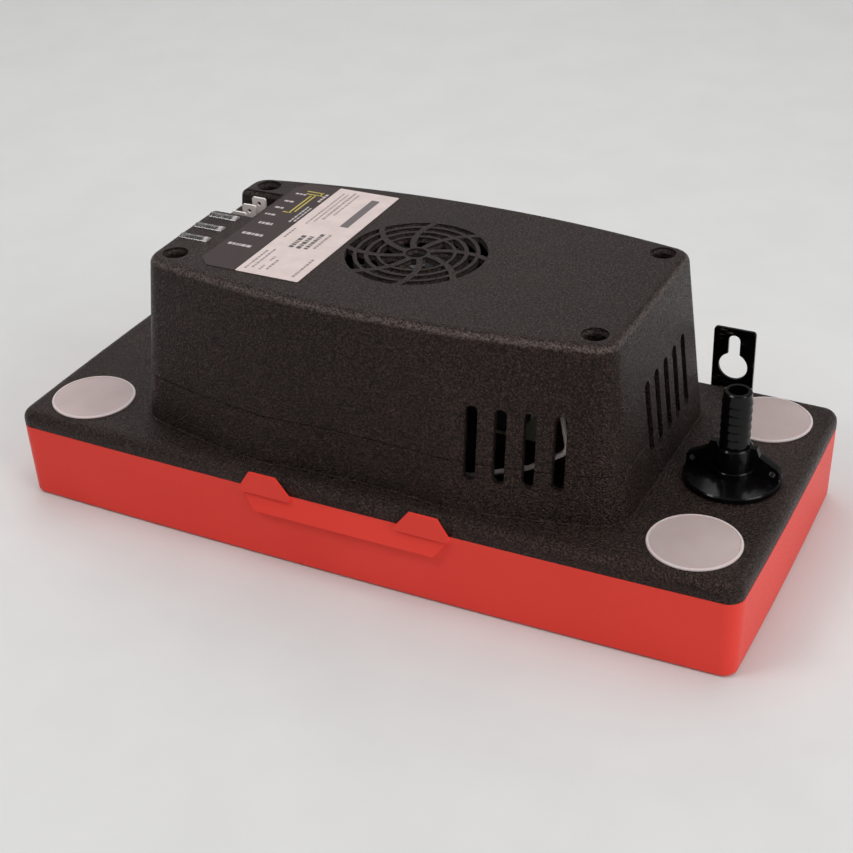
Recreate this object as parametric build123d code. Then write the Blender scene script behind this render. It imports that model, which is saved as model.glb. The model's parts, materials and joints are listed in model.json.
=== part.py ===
"""Low-profile condensate pump: a shallow tank, and a lift-off head that carries motor, pump and switches.

Millimetres. X runs along the tank, the front is -Y, and the origin is at the bottom centre of the tank.
"""
import math
import os

from build123d import *

# Tank
rim_length = 300.0
rim_width = 130.4
side_bow = 1.8
end_bow = 0.8
rim_corner = 6.1
tank_height = 32.0
tank_lean = 0.75
tank_wall = 2.4
tank_floor = 2.4
tank_edge_round = 1.5
tank_edge_bevel = 0.4
foot_width = 6.0
foot_height = 0.8

# Snap ears and finger flap on each long wall
flap_width_top = 88.4
flap_width_low = 75.4
flap_top = 31.2
flap_low = 22.8
flap_proud = 2.3
flap_thickness = 1.5
ear_height = 39.0
ear_outer = 39.2
ear_inner = 27.8
ear_root_inner = 22.0
ear_thickness = 1.4

# Deck
deck_edge = 6.6
deck_plate = 2.8
deck_round = 4.5
deck_side = 2.6
lip_depth = 3.4
lip_thickness = 1.8

# Housing above the deck: the upstand is the deck's, the rest is the cover's
seam_height = 57.6
seam_bevel = 0.4
bead_height = 0.7
bead_proud = 0.6
bead_bevel = 0.3
cover_top = 106.5
cover_wall = 2.4
cover_roof = 2.5
cover_round = 3.2
round_bands = 6
shoulder_x = 37.5
housing_gap = 6.6
end_draft = 7.6
base_half_width = 46.8
base_flank_bow = 1.5
base_shoulder = 60.1
base_middle = 57.4
base_corner = 15.0
top_half_width = 41.6
top_flank_bow = 0.9
top_shoulder = 50.0
top_middle = 51.6
top_corner = 7.5
house_end_bow = 0.4
lap_height = 2.4
lap_thickness = 1.1

# Cooling slots
slot_width = 4.5
front_slot_low = 51.0
front_slot_high = 79.6
end_slot_low = 51.0
end_slot_high = 80.6
front_slot_first = 46.9
front_slot_pitch = 10.5
front_slot_count = 4
end_slot_middle = 4.0
end_slot_pitch = 9.6
end_slot_count = 5

# Fan guard in the roof: rings as shares of the outer radius
guard_radius = 27.0
guard_eye = 4.0
guard_rings = ((0.195, 0.515), (0.56, 0.67), (0.73, 0.835), (0.89, 1.0))
guard_spokes = 8
guard_spoke_width = 2.4
guard_spoke_curve = 24.0

# Cover screws
screw_inset = 9.2
screw_y = 34.5
counterbore_radius = 4.9
counterbore_depth = 24.5
column_radius = 6.3
cover_screw_radius = 1.9
cover_screw_head = 3.9
cover_screw_head_height = 2.6
cover_screw_end = 48.0
post_radius = 4.4

# Terminals and lamps at the left of the roof
tray_length = 19.6
tray_front = 4.6
tray_back = 28.6
tray_depth = 8.0
tray_wall = 1.7
tab_width = 6.35
tab_thickness = 0.8
tab_inset = 11.2
tab_front = 8.0
tab_pitch = 7.5
tab_count = 3
tab_drop = 0.3
tab_hole = 0.9
tab_hole_drop = 2.6
tab_tip_bevel = 0.6
board_drop = 18.5
board_thickness = 1.6
board_peg_inset = 2.8
board_peg_radius = 2.2
board_inset = 3.2
board_width = 20.0
board_front = -26.0
board_back = 27.4
pipe_front = -20.1
pipe_pitch = 10.5
pipe_count = 3
pipe_inset = 2.6
pipe_length = 12.2
pipe_width = 4.0
pipe_proud = 1.0
lamp_radius = 1.5
lamp_height = 4.0

# Labels
label_thickness = 0.15
rating_label_size = (26.8, 81.6)
rating_label_inset = 51.8
rating_label_y = 1.8
switch_label_inset = 20.8
switch_label_cut = 5.0

# Motor, its axis at x = y = 0
shaft_radius = 3.0
bush_radius = 5.0
motor_post_top = 46.0
motor_post_radius = 5.0
bracket_rise = 10.0
bracket_plate = 2.5
bracket_half_span = 28.0
bracket_half_depth = 8.0
bracket_hub_radius = 8.0
fan_room = 3.4
stack_half_width = 29.0
stack_left = -28.0
leg_width = 11.0
pole_right = 20.0
window_half_width = 18.0
coil_bar_left = 42.0
coil_bar_right = 54.0
bore_radius = 13.4
rotor_radius = 13.0
bolt_y = 23.5
bolt_radius = 2.0
bolt_head_radius = 3.8
bolt_head_height = 2.6
bobbin_wall = 1.2
bobbin_flange = 9.0
winding_depth = 7.0
shading_wire = 1.8
shading_reach = 7.0
shading_x = 10.5
fan_gap = 2.0
fan_radius = 22.5
fan_hub_radius = 7.0
fan_height = 8.0
fan_blades = 6
blade_thickness = 1.2
blade_pitch_root = 48.0
blade_pitch_tip = 28.0
slinger_radius = 8.0
slinger_height = 2.0
shaft_collar = 2.6

# Centrifugal pump under the deck
impeller_radius = 16.0
impeller_low = 9.6
vane_height = 3.8
impeller_disc = 1.4
impeller_hub_radius = 4.8
vane_count = 6
vane_thickness = 1.4
chamber_radius = 19.0
chamber_low = 8.0
chamber_high = 16.0
pump_wall = 2.0
outlet_y = -14.2
outlet_bore = 3.4
outlet_end = 32.0
column_bore = 5.0
column_wall = 2.0
intake_plate = 2.0
intake_radius = 6.0
intake_foot = 2.6
pump_post_circle = 23.5
pump_post_radius = 3.8
pump_screw_radius = 1.5
pump_screw_head = 2.8
pump_screw_head_height = 1.6
deck_boss_depth = 4.8
discharge_wall = 1.4
discharge_bend = 13.0

# Discharge fitting with its check valve
valve_inset = 23.6
flange_radius = 18.0
flange_thickness = 2.2
flange_rise = 1.3
hub_radius = 8.3
hub_height = 3.9
collar_radius = 6.8
collar_top = 53.4
valve_stem_radius = 8.0
valve_low = 30.6
barb_top = 75.5
barb_root_radius = 5.2
barb_radius = 5.6
barb_tip_radius = 5.1
barb_tip_bevel = 0.4
barb_count = 6
barb_bore = 3.6
ball_radius = 4.4
ball_chamber = 5.2
valve_seat = 33.0
ball_travel = 3.0
spring_radius = 3.7
spring_wire = 0.3
spring_turns = 4
lug_reach = 11.0
lug_thickness = 1.5
lug_width = 4.6
wing_thickness = 2.4
wing_reach = 17.4
wing_edge_height = 5.4
wing_waist_radius = 9.8
wing_waist_height = 9.3
wing_hole = 1.2
socket_wall = 2.0
seal_wire = 0.85
groove_low = 0.9
groove_height = 1.8
nipple_low = 24.0

# Inlet plugs
plug_inset_x = 23.0
plug_inset_y = 20.6
plug_radius = 16.8
plug_flange = 0.7
plug_dish = 0.2
plug_stub_radius = 13.8
plug_stub_low = 29.6
plug_skin = 1.6
collar_wall = 1.6

# Float and its two switches
float_x = -73.0
float_length = 50.0
float_width = 60.0
float_low = 4.2
float_height = 13.0
float_round = 3.0
float_travel = 12.0
stem_radius = 2.0
stem_top = 50.2
crossbar_height = 2.5
crossbar_half_depth = 2.0
crossbar_half_width = 13.0
guide_wall = 2.4
guide_low = 31.0
lever_reach = 31.0
lever_pivot_offset = 29.0
lever_thickness = 0.6
lever_tip = 2.6
lever_width = 5.0
lever_hang = 24.0
safety_lever_hang = 15.0
trunnion_radius = 0.9
trunnion_length = 9.0
switch_length = 28.0
switch_width = 10.4
switch_height = 16.0
switch_y = 9.5
switch_lift = 1.2
cheek_drop = 2.6
cheek_depth = 4.0
button_offset = 3.2
button_radius = 1.0
button_length = 5.0
switch_bolt_radius = 1.45
switch_bolt_head = 2.7
switch_bolt_head_height = 1.8
blade_width = 4.8
blade_height = 6.5
blade_thickness_switch = 0.8
blade_first = 3.0
blade_pitch = 8.5
bracket_foot_height = 2.4
bracket_post_height = 4.0

# Hanger brackets at the back
hanger_inset = 45.0
hanger_width = 17.0
hanger_top = 62.0
hanger_thickness = 1.2
hanger_foot = 14.0
hanger_foot_low = 33.1
hanger_corner = 1.5
keyhole_centre = 45.4
keyhole_radius = 5.9
keyhole_slot = 4.8
keyhole_top = 59.2
hanger_screw_radius = 1.5
hanger_screw_inset = 3.6
hanger_screw_head = 2.9
hanger_screw_head_height = 1.5

# Cord bush in the left end of the upstand, and the leads inside
gland_height = 48.5
gland_radius = 6.2
gland_flange = 8.2
gland_bore = 3.7
lead_radius = 1.0
lead_bend = 4.0
lead_rise = 5.2
lead_spread = 2.5
lead_wall_gap = 11.4
lead_floor_gap = 5.0
lead_rise_y = 9.0
sleeve_wall = 0.7
sleeve_length = 6.0

# Clearances
running_gap = 0.05
seat_gap = 0.2
free_gap = 0.4
wide_gap = 0.8

# Sizes that follow from the ones above
deck_top = tank_height + deck_edge
deck_under = deck_top - deck_plate
wall_y = rim_width / 2 + side_bow
valve_x = rim_length / 2 - valve_inset
plug_x = rim_length / 2 - plug_inset_x
plug_y = rim_width / 2 - plug_inset_y
hanger_x = rim_length / 2 - hanger_inset
base_half_length = valve_x - flange_radius - housing_gap
top_half_length = base_half_length - end_draft
screw_x = top_half_length - screw_inset
counterbore_floor = cover_top - counterbore_depth
tray_right = tray_length - top_half_length
tray_floor = cover_top - tray_depth
tab_x = tab_inset - top_half_length
tab_top = cover_top - tab_drop
board_top = cover_top - board_drop
board_left = board_inset - top_half_length
board_right = board_left + board_width
pipe_left = pipe_inset - top_half_length
pipe_right = pipe_left + pipe_length
rating_label_centre = (rating_label_inset - top_half_length, rating_label_y)
switch_label_left = switch_label_inset - top_half_length
stack_low = motor_post_top + bracket_rise
stack_height = (cover_top - cover_roof - fan_room - fan_height - fan_gap - bolt_head_height
                - 2 * bracket_rise - motor_post_top)
stack_high = stack_low + stack_height
bracket_high = stack_high + bracket_rise
fan_low = bracket_high + bolt_head_height + fan_gap
shaft_high = fan_low + fan_height + 1.0
house_slope = math.degrees(math.atan2(base_half_length - top_half_length, cover_top - deck_top))
pivot_x = float_x + lever_pivot_offset
pivot_z = (stem_top + seat_gap + lever_reach * math.tan(math.radians(lever_hang))
           + lever_thickness / 2 / math.cos(math.radians(lever_hang)))
switch_low = pivot_z + switch_lift
impeller_high = impeller_low + vane_height + impeller_disc
valve_flange_low = deck_top + seat_gap
ball_rest = valve_seat + math.sqrt(ball_radius ** 2 - barb_bore ** 2) + running_gap
pipe_level = chamber_low + outlet_bore + discharge_wall + seat_gap
hanger_back = wall_y + flap_proud


def post(x, y, radius, low, high):
    """Upright cylinder between two heights."""
    return Pos(x, y, low) * Cylinder(radius, high - low, align=(Align.CENTER, Align.CENTER, Align.MIN))


def block(x_range, y_range, z_range):
    """Box between three pairs of limits."""
    sizes = [abs(b - a) for a, b in (x_range, y_range, z_range)]
    middle = [(a + b) / 2 for a, b in (x_range, y_range, z_range)]
    return Pos(*middle) * Box(*sizes)


def arc_outline(ends, crests, corner, height):
    """Closed face of arcs from end to end over their crests, rounded where it is widest."""
    arcs = [ThreePointArc(ends[i], crests[i], ends[(i + 1) % len(ends)]) for i in range(len(ends))]
    outline = make_face(arcs)
    widest = max(x for x, y in ends)
    return Pos(0, 0, height) * fillet([v for v in outline.vertices() if abs(v.X) > 0.99 * widest], corner)


def rim_plan(height, inset=0.0):
    """The tank's and the deck's outline, drawn in by an inset: its sides swell a little."""
    x = rim_length / 2 - inset
    y = rim_width / 2 - inset
    ends = [(-x, -y), (x, -y), (x, y), (-x, y)]
    crests = [(0, -y - side_bow), (x + end_bow, 0), (0, y + side_bow), (-x - end_bow, 0)]
    return arc_outline(ends, crests, max(rim_corner - inset, 1.2), height)


def house_plan(height, inset=0.0):
    """The housing's outline: between two shoulders, each long side is hollow at the deck and full at the roof."""
    share = (height - deck_top) / (cover_top - deck_top)

    def between(low, high):
        return low + (high - low) * share - inset

    x = between(base_half_length, top_half_length)
    corner = between(base_half_width, top_half_width)
    shoulder = between(base_shoulder, top_shoulder)
    middle = between(base_middle, top_middle)
    flank_x = (x + shoulder_x) / 2
    flank = (corner + shoulder) / 2 + base_flank_bow + (top_flank_bow - base_flank_bow) * share
    ends = [(-x, -corner), (-shoulder_x, -shoulder), (shoulder_x, -shoulder), (x, -corner),
            (x, corner), (shoulder_x, shoulder), (-shoulder_x, shoulder), (-x, corner)]
    crests = [(-flank_x, -flank), (0, -middle), (flank_x, -flank), (x + house_end_bow, 0),
              (flank_x, flank), (0, middle), (-flank_x, flank), (-x - house_end_bow, 0)]
    return arc_outline(ends, crests, max(between(base_corner, top_corner), 1.2), height)


def skin(plan, low, high, inset=0.0, low_bevel=0.0, high_bevel=0.0, high_round=0.0):
    """Solid between two heights of an outline function, its ends bevelled or rounded where that is given."""
    sections = [plan(low + low_bevel, inset), plan(high - high_bevel - high_round, inset)]
    if low_bevel:
        sections.insert(0, plan(low, inset + low_bevel))
    if high_bevel:
        sections.append(plan(high, inset + high_bevel))
    if high_round:
        turns = [math.radians(90 * (i + 1) / round_bands) for i in range(round_bands)]
        sections += [plan(high - high_round * (1 - math.sin(t)), inset + high_round * (1 - math.cos(t))) for t in turns]
    return loft(sections, ruled=True)


def wall_between(plan, low, high, outer_inset, inner_inset):
    """Hollow wall between two heights of an outline function."""
    inside = loft([plan(low - 0.01, inner_inset), plan(high + 0.01, inner_inset)], ruled=True)
    return skin(plan, low, high, outer_inset) - inside


def revolved(points, x=0.0, y=0.0):
    """Solid of revolution about an upright axis from (radius, height) points."""
    profile = Plane.XZ * make_face(Polyline(*points, close=True))
    return Pos(x, y, 0) * revolve(profile, Axis.Z)


def corner_signs():
    return [(-1, -1), (1, -1), (1, 1), (-1, 1)]


def pump_posts():
    """Places of the three posts that hold the pump under the deck."""
    return [(pump_post_circle * math.cos(math.radians(a)), pump_post_circle * math.sin(math.radians(a)))
            for a in (60, 180, 300)]


def upright_slot(width, low, high, depth):
    """Round-ended slot cutter, upright in the XZ plane and centred on Y."""
    outline = Plane.XZ * Rot(0, 0, 90) * SlotOverall(high - low, width)
    return Pos(0, depth / 2, (low + high) / 2) * extrude(outline, depth)


def cooling_slots():
    """Cutters for the slots in the front and in the right end, through cover and upstand alike."""
    reach = 36.0
    front_cutter = upright_slot(slot_width, front_slot_low, front_slot_high, reach)
    end_cutter = Rot(0, 0, 90) * upright_slot(slot_width, end_slot_low, end_slot_high, reach)
    front = [Pos(front_slot_first + i * front_slot_pitch, -base_shoulder, 0) * front_cutter
             for i in range(front_slot_count)]
    ends = [Pos(base_half_length, end_slot_middle + (i - (end_slot_count - 1) / 2) * end_slot_pitch, 0)
            * end_cutter for i in range(end_slot_count)]
    return front + ends


def latch(side):
    """Ears that clasp the deck's edge and the finger flap below them; side -1 is the front."""
    outer = wall_y + flap_proud
    flap_profile = Polyline((wall_y - 1.0, flap_top), (wall_y, flap_top), (outer, flap_low),
                            (outer - flap_thickness, flap_low), (wall_y - 1.0, flap_low + 5.0), close=True)
    flap = extrude(Plane.YZ * make_face(flap_profile), flap_width_top / 2, both=True)
    outline = Polyline((-flap_width_top / 2, flap_top), (flap_width_top / 2, flap_top),
                       (flap_width_low / 2, flap_low), (-flap_width_low / 2, flap_low), close=True)
    flap = flap & Pos(0, 2 * wall_y, 0) * extrude(Plane.XZ * make_face(outline), 2 * wall_y)
    ear_outline = Polyline((ear_root_inner, flap_top - 1.0), (ear_root_inner, tank_height - 0.4),
                           (ear_inner, ear_height), (ear_outer, ear_height),
                           (flap_width_top / 2, flap_top), (flap_width_top / 2 - 1.0, flap_top - 1.0),
                           close=True)
    ear_face = Plane.XZ * make_face(ear_outline)
    ear_out = wall_y + free_gap + ear_thickness
    ear = Pos(0, ear_out, 0) * extrude(ear_face, ear_thickness)
    root = Pos(0, ear_out, 0) * extrude(ear_face, ear_thickness + free_gap + 1.0)
    root = root & block((0, rim_length), (0, rim_width), (0, tank_height))
    right = ear + root
    whole = flap + [right, mirror(right, about=Plane.YZ)]
    return whole if side > 0 else mirror(whole, about=Plane.XZ)


def tank():
    """Open shallow tank with leaning walls, a raised foot round its underside and both latches."""
    outer = loft([rim_plan(0, tank_lean), rim_plan(tank_height - tank_edge_bevel),
                  rim_plan(tank_height, tank_edge_bevel)], ruled=True)
    outer = fillet(outer.edges().group_by(Axis.Z)[0], tank_edge_round)
    inner = loft([rim_plan(tank_floor, tank_lean + tank_wall), rim_plan(tank_height + 0.01, tank_wall)],
                 ruled=True)
    recess = extrude(rim_plan(0, foot_width), foot_height)
    body = outer + [latch(-1), latch(1)]
    return body - [inner, recess]


def deck_socket():
    """Moulded socket under the deck that takes the discharge fitting, and the cuts inside it."""
    outer = lug_reach + seat_gap + socket_wall
    floor_high = valve_low - seat_gap
    floor_low = floor_high - socket_wall
    body = post(valve_x, 0, outer, floor_low, deck_under) + post(valve_x, 0, outlet_bore + discharge_wall,
                                                                 nipple_low, floor_low)
    lug_low = deck_under - lug_thickness - 2 * seat_gap
    cuts = [post(valve_x, 0, lug_reach + seat_gap, lug_low, deck_under),
            post(valve_x, 0, valve_stem_radius + running_gap, floor_high, deck_top + 1),
            post(valve_x, 0, outlet_bore, nipple_low - 1, floor_high + 1)]
    notch = lug_width + 2 * free_gap
    cuts.append(block((valve_x - notch / 2, valve_x + notch / 2), (-lug_reach - seat_gap, lug_reach + seat_gap),
                      (lug_low, deck_top + 1)))
    return body, cuts


def deck():
    """Deck with its rounded edge, locating lip, upstand, posts, guide, collars and discharge socket."""
    plate = extrude(rim_plan(tank_height), deck_edge)
    plate = fillet(plate.edges().group_by(Axis.Z)[-1], deck_round)
    hollow = extrude(rim_plan(tank_height, deck_side), deck_edge - deck_plate)
    lip_inset = tank_wall + 2 * free_gap
    lip = wall_between(rim_plan, tank_height - lip_depth, deck_under, lip_inset, lip_inset + lip_thickness)
    upstand = skin(house_plan, deck_top - 1, seam_height, high_bevel=seam_bevel)
    bead = skin(house_plan, deck_top - 1, deck_top + bead_height, -bead_proud, high_bevel=bead_bevel)
    lap = skin(house_plan, seam_height - 1, seam_height + lap_height, cover_wall - lap_thickness)
    inside = skin(house_plan, deck_top, seam_height + lap_height + 0.01, cover_wall)
    body = (plate - hollow) + [lip, upstand, bead, lap] - inside

    adds = [post(sx * screw_x, sy * screw_y, post_radius, deck_under, counterbore_floor - 20)
            for sx, sy in corner_signs()]
    adds += [post(0, sy * bolt_y, motor_post_radius, deck_under, motor_post_top) for sy in (-1, 1)]
    adds += [post(sx * plug_x, sy * plug_y, plug_stub_radius + seat_gap + collar_wall, tank_height - lip_depth,
                  deck_under) for sx, sy in corner_signs()]
    adds += [post(x, y, pump_post_radius, deck_under - deck_boss_depth, deck_under) for x, y in pump_posts()]
    adds.append(post(0, 0, shaft_radius + free_gap + column_wall, deck_under, deck_top + shaft_collar))
    guide_top = stem_top - crossbar_height - 1.5 * seat_gap
    adds.append(post(float_x, 0, stem_radius + guide_wall, guide_low, guide_top))
    adds += [post(x, y, stem_radius + 1.4, deck_under, deck_top + bracket_post_height)
             for x, y in switch_bracket_posts()]
    hanger_boss_low = hanger_foot_low + hanger_thickness + running_gap
    adds += [post(sx * hanger_x, hanger_screw_y(), 3.4, hanger_boss_low, deck_under) for sx in (-1, 1)]
    socket, cuts = deck_socket()
    adds.append(socket)

    cuts += [post(sx * screw_x, sy * screw_y, cover_screw_radius, cover_screw_end - 1, counterbore_floor)
             for sx, sy in corner_signs()]
    cuts += [post(0, sy * bolt_y, bolt_radius, deck_under + 1, motor_post_top + 1) for sy in (-1, 1)]
    cuts += [post(sx * plug_x, sy * plug_y, plug_stub_radius + seat_gap, tank_height - lip_depth - 1,
                  deck_top + 1) for sx, sy in corner_signs()]
    cuts += [post(x, y, pump_screw_radius, deck_under - deck_boss_depth - 1, deck_top - 1) for x, y in pump_posts()]
    cuts.append(post(0, 0, shaft_radius + free_gap, deck_under - 1, deck_top + shaft_collar + 1))
    cuts.append(post(float_x, 0, stem_radius + running_gap, guide_low - 1, guide_top + 1))
    cuts += [post(x, y, switch_bolt_radius, deck_under + 0.8, deck_top + bracket_post_height + 1)
             for x, y in switch_bracket_posts()]
    for sx in (-1, 1):
        half = hanger_width / 2 + seat_gap
        cuts.append(block((sx * hanger_x - half, sx * hanger_x + half),
                          (hanger_screw_y() - 6.0, hanger_back + 1),
                          (hanger_foot_low - seat_gap, hanger_boss_low)))
        cuts.append(post(sx * hanger_x, hanger_screw_y(), hanger_screw_radius, hanger_foot_low - 1, deck_top - 0.8))
    cuts.append(gland_hole())
    cuts += cooling_slots()
    return body + adds - cuts


def guard_openings():
    """Swirl guard: ring openings with curved spokes left between them."""
    rings = [Circle(high * guard_radius) - Circle(low * guard_radius) for low, high in guard_rings]
    open_face = Sketch() + rings
    curve = Pos(guard_spoke_curve, 0) * (Circle(guard_spoke_curve + guard_spoke_width / 2)
                                         - Circle(guard_spoke_curve - guard_spoke_width / 2))
    reach = 2 * guard_radius
    spoke = curve & (Pos(reach / 2, reach / 2) * Rectangle(reach, reach)
                     + Pos(0, reach / 2) * Rectangle(guard_spoke_width, reach))
    spokes = [Rot(0, 0, i * 360 / guard_spokes) * spoke for i in range(guard_spokes)]
    open_face = open_face - spokes + Circle(guard_eye)
    return Pos(0, 0, cover_top - cover_roof - 1) * extrude(open_face, cover_roof + 2)


def tray_block(grow, low, high):
    """Block round the terminal tray, grown on the sides that stay inside the cover."""
    return block((-rim_length / 2, tray_right + grow), (tray_front - grow, tray_back + grow), (low, high))


def tab_places():
    return [(tab_x, tab_front + i * tab_pitch) for i in range(tab_count)]


def pipe_places():
    return [pipe_front + i * pipe_pitch for i in range(pipe_count)]


def motor_cover():
    """Drafted shell with a swirl guard, cooling slots, screw columns, terminal tray and lamp slots."""
    outer = skin(house_plan, seam_height + running_gap, cover_top, low_bevel=seam_bevel, high_round=cover_round)
    roof_under = cover_top - cover_roof
    inner = skin(house_plan, seam_height - 1, roof_under, cover_wall)
    rebate = skin(house_plan, seam_height - 1, seam_height + lap_height + seat_gap,
                  cover_wall - lap_thickness - seat_gap)
    shell = outer - [inner, rebate]
    column_low = counterbore_floor - 20 + seat_gap
    inside = skin(house_plan, column_low, roof_under + 0.5, cover_wall / 2)
    columns = [post(sx * screw_x, sy * screw_y, column_radius, column_low, roof_under + 0.5)
               for sx, sy in corner_signs()]
    tray = tray_block(tray_wall, tray_floor - tray_wall, roof_under + 0.5)
    pegs = [post(board_right - board_peg_inset, y, board_peg_radius, board_top, roof_under + 0.5)
            for y in board_peg_places()]
    fittings = Part() + (columns + [tray] + pegs)
    body = shell + (fittings & inside)
    cuts = [post(sx * screw_x, sy * screw_y, counterbore_radius, counterbore_floor, cover_top + 1)
            for sx, sy in corner_signs()]
    cuts += [post(sx * screw_x, sy * screw_y, cover_screw_radius + seat_gap, column_low - 1, counterbore_floor)
             for sx, sy in corner_signs()]
    cuts.append(tray_block(0, tray_floor, cover_top + 1))
    half_slot = tab_width / 2 + seat_gap
    cuts += [block((x - half_slot, x + half_slot), (y - tab_thickness, y + tab_thickness),
                   (tray_floor - tray_wall - 1, tray_floor + 1)) for x, y in tab_places()]
    cuts += [block((pipe_left - seat_gap, pipe_right + seat_gap),
                   (y - pipe_width / 2 - seat_gap / 2, y + pipe_width / 2 + seat_gap / 2),
                   (roof_under - 1, cover_top + 1)) for y in pipe_places()]
    cuts.append(guard_openings())
    cuts += cooling_slots()
    return body - cuts


def screw(x, y, radius, end, head_radius, head_low, head_height, driver=0.9):
    """Upright screw with a domed pan head above its shank and a cross recess."""
    shank = post(x, y, radius, end, head_low)
    head = post(x, y, head_radius, head_low, head_low + head_height)
    head = fillet(head.edges().group_by(Axis.Z)[-1], head_height * 0.45)
    arm = head_radius * 0.62
    recess_low = head_low + head_height * 0.45
    cross = [block((x - arm, x + arm), (y - driver / 2, y + driver / 2), (recess_low, head_low + head_height + 1)),
             block((x - driver / 2, x + driver / 2), (y - arm, y + arm), (recess_low, head_low + head_height + 1))]
    return shank + head - cross


def upturned(solid, height):
    """The same solid turned upside down about a level."""
    return mirror(solid, about=Plane.XY.offset(height))


def cover_screws():
    return [screw(sx * screw_x, sy * screw_y, cover_screw_radius, cover_screw_end, cover_screw_head,
                  counterbore_floor, cover_screw_head_height) for sx, sy in corner_signs()]


def stack_outline():
    """Plan of the laminations: a pole block with two legs joined by the bar that the coil sits on."""
    frame = Polyline((stack_left, -stack_half_width), (coil_bar_right, -stack_half_width),
                     (coil_bar_right, stack_half_width), (stack_left, stack_half_width), close=True)
    window = Pos((pole_right + coil_bar_left) / 2, 0) * Rectangle(coil_bar_left - pole_right,
                                                                   2 * window_half_width)
    return make_face(frame) - window - Circle(bore_radius)


def shading_places():
    """Where each shading ring's two legs pass through the pole faces."""
    near = bore_radius + shading_wire
    return [(sx * shading_x, sy * near, sy) for sx, sy in ((-1, 1), (1, -1))]


def stator_stack():
    body = Pos(0, 0, stack_low) * extrude(stack_outline(), stack_height)
    cuts = [post(0, sy * bolt_y, bolt_radius + seat_gap, stack_low - 1, stack_high + 1) for sy in (-1, 1)]
    hole = shading_wire + 2 * running_gap
    for x, y, sy in shading_places():
        for dy in (0, sy * shading_reach):
            cuts.append(Pos(x, y + dy, (stack_low + stack_high) / 2) * Box(hole, hole, stack_height + 2))
    gap = 1.0
    cuts += [block((-gap / 2, gap / 2), (sy * (bore_radius - 1), sy * (bore_radius + 3)),
                   (stack_low - 1, stack_high + 1)) for sy in (-1, 1)]
    return body - cuts


def shading_rings():
    """Closed copper loops, each round one tip of a pole."""
    rings = []
    for x, y, sy in shading_places():
        half = shading_wire / 2
        lows = (min(y, y + sy * shading_reach) - half, max(y, y + sy * shading_reach) + half)
        outer = block((x - half, x + half), lows, (stack_low - shading_wire, stack_high + shading_wire))
        inner = block((x - shading_wire, x + shading_wire), (lows[0] + shading_wire, lows[1] - shading_wire),
                      (stack_low, stack_high))
        rings.append(outer - inner)
    return rings


def coil_middle():
    return (coil_bar_left + coil_bar_right) / 2


def coil_bobbin():
    """Bobbin sleeve over the coil bar, with a flange at each end and two terminal lugs on top."""
    x = coil_middle()
    z = (stack_low + stack_high) / 2
    half = window_half_width - seat_gap
    hollow_x = coil_bar_right - coil_bar_left + 2 * running_gap
    hollow_z = stack_height + 2 * running_gap
    sleeve = Box(hollow_x + 2 * bobbin_wall, 2 * half, hollow_z + 2 * bobbin_wall)
    flange = Box(hollow_x + 2 * bobbin_flange, bobbin_wall, hollow_z + 2 * bobbin_flange)
    flange = fillet(flange.edges().filter_by(Axis.Y), 3.0)
    flanges = [Pos(0, sy * (half - bobbin_wall / 2), 0) * flange for sy in (-1, 1)]
    body = sleeve + flanges
    body = body - Box(hollow_x, 2 * half + 2, hollow_z)
    return Pos(x, 0, z) * body


def winding_half_height():
    return stack_height / 2 + 2 * running_gap + bobbin_wall + winding_depth


def coil_winding():
    """Wound copper between the bobbin's flanges, with rounded corners."""
    half = window_half_width - seat_gap - bobbin_wall - running_gap
    in_x = coil_bar_right - coil_bar_left + 2 * (running_gap * 2 + bobbin_wall)
    in_z = stack_height + 2 * (running_gap * 2 + bobbin_wall)
    outer = Box(in_x + 2 * winding_depth, 2 * half, 2 * winding_half_height())
    outer = fillet(outer.edges().filter_by(Axis.Y), winding_depth * 0.9)
    inner = Box(in_x, 2 * half + 2, in_z)
    return Pos(coil_middle(), 0, (stack_low + stack_high) / 2) * (outer - inner)


def bearing_bracket():
    """Cast strap for the lower bearing: a bridge with two feet and a hub; the upper one is its mirror."""
    low = motor_post_top
    bridge = block((-bracket_half_depth, bracket_half_depth), (-bracket_half_span, bracket_half_span),
                   (low, low + bracket_plate))
    bridge = fillet(bridge.edges().filter_by(Axis.Z), 4.0)
    feet = [block((-bracket_half_depth + 1, bracket_half_depth - 1),
                  (sy * (bolt_y - 4.0), sy * (bracket_half_span - 0.5)), (low, stack_low)) for sy in (-1, 1)]
    hub = post(0, 0, bracket_hub_radius, low, low + bracket_rise - 2.5)
    cuts = [post(0, 0, bush_radius, low - 1, stack_low)]
    cuts += [post(0, sy * bolt_y, bolt_radius + seat_gap, low - 1, stack_low + 1) for sy in (-1, 1)]
    return bridge + feet + hub - cuts


def bearing_bush():
    """Sintered bush with a thrust shoulder under the bracket's hub."""
    low = motor_post_top
    body = post(0, 0, bush_radius, low - 0.6, low + bracket_rise - 2.0)
    return body - post(0, 0, shaft_radius + running_gap, low - 2, stack_low)


def to_upper(solid):
    """Mirrors a lower motor piece to the top of the stack."""
    return upturned(solid, (stack_low + stack_high) / 2)


def motor_bolts():
    return [screw(0, sy * bolt_y, bolt_radius, deck_under + 1.5, bolt_head_radius, bracket_high,
                  bolt_head_height, 1.1) for sy in (-1, 1)]


def rotor_core():
    """Squirrel-cage rotor: laminated drum between two cast end rings."""
    drum = post(0, 0, rotor_radius, stack_low + 1, stack_high - 1)
    rings = [post(0, 0, rotor_radius - 1.2, stack_low - 0.5, stack_low + 1),
             post(0, 0, rotor_radius - 1.2, stack_high - 1, stack_high + 0.5)]
    bars = [Rot(0, 0, i * 360 / 17) * Pos(rotor_radius, 0, 0) * post(0, 0, 0.5, stack_low, stack_high)
            for i in range(17)]
    return drum + rings - bars - post(0, 0, shaft_radius, stack_low - 5, stack_high + 5)


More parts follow.
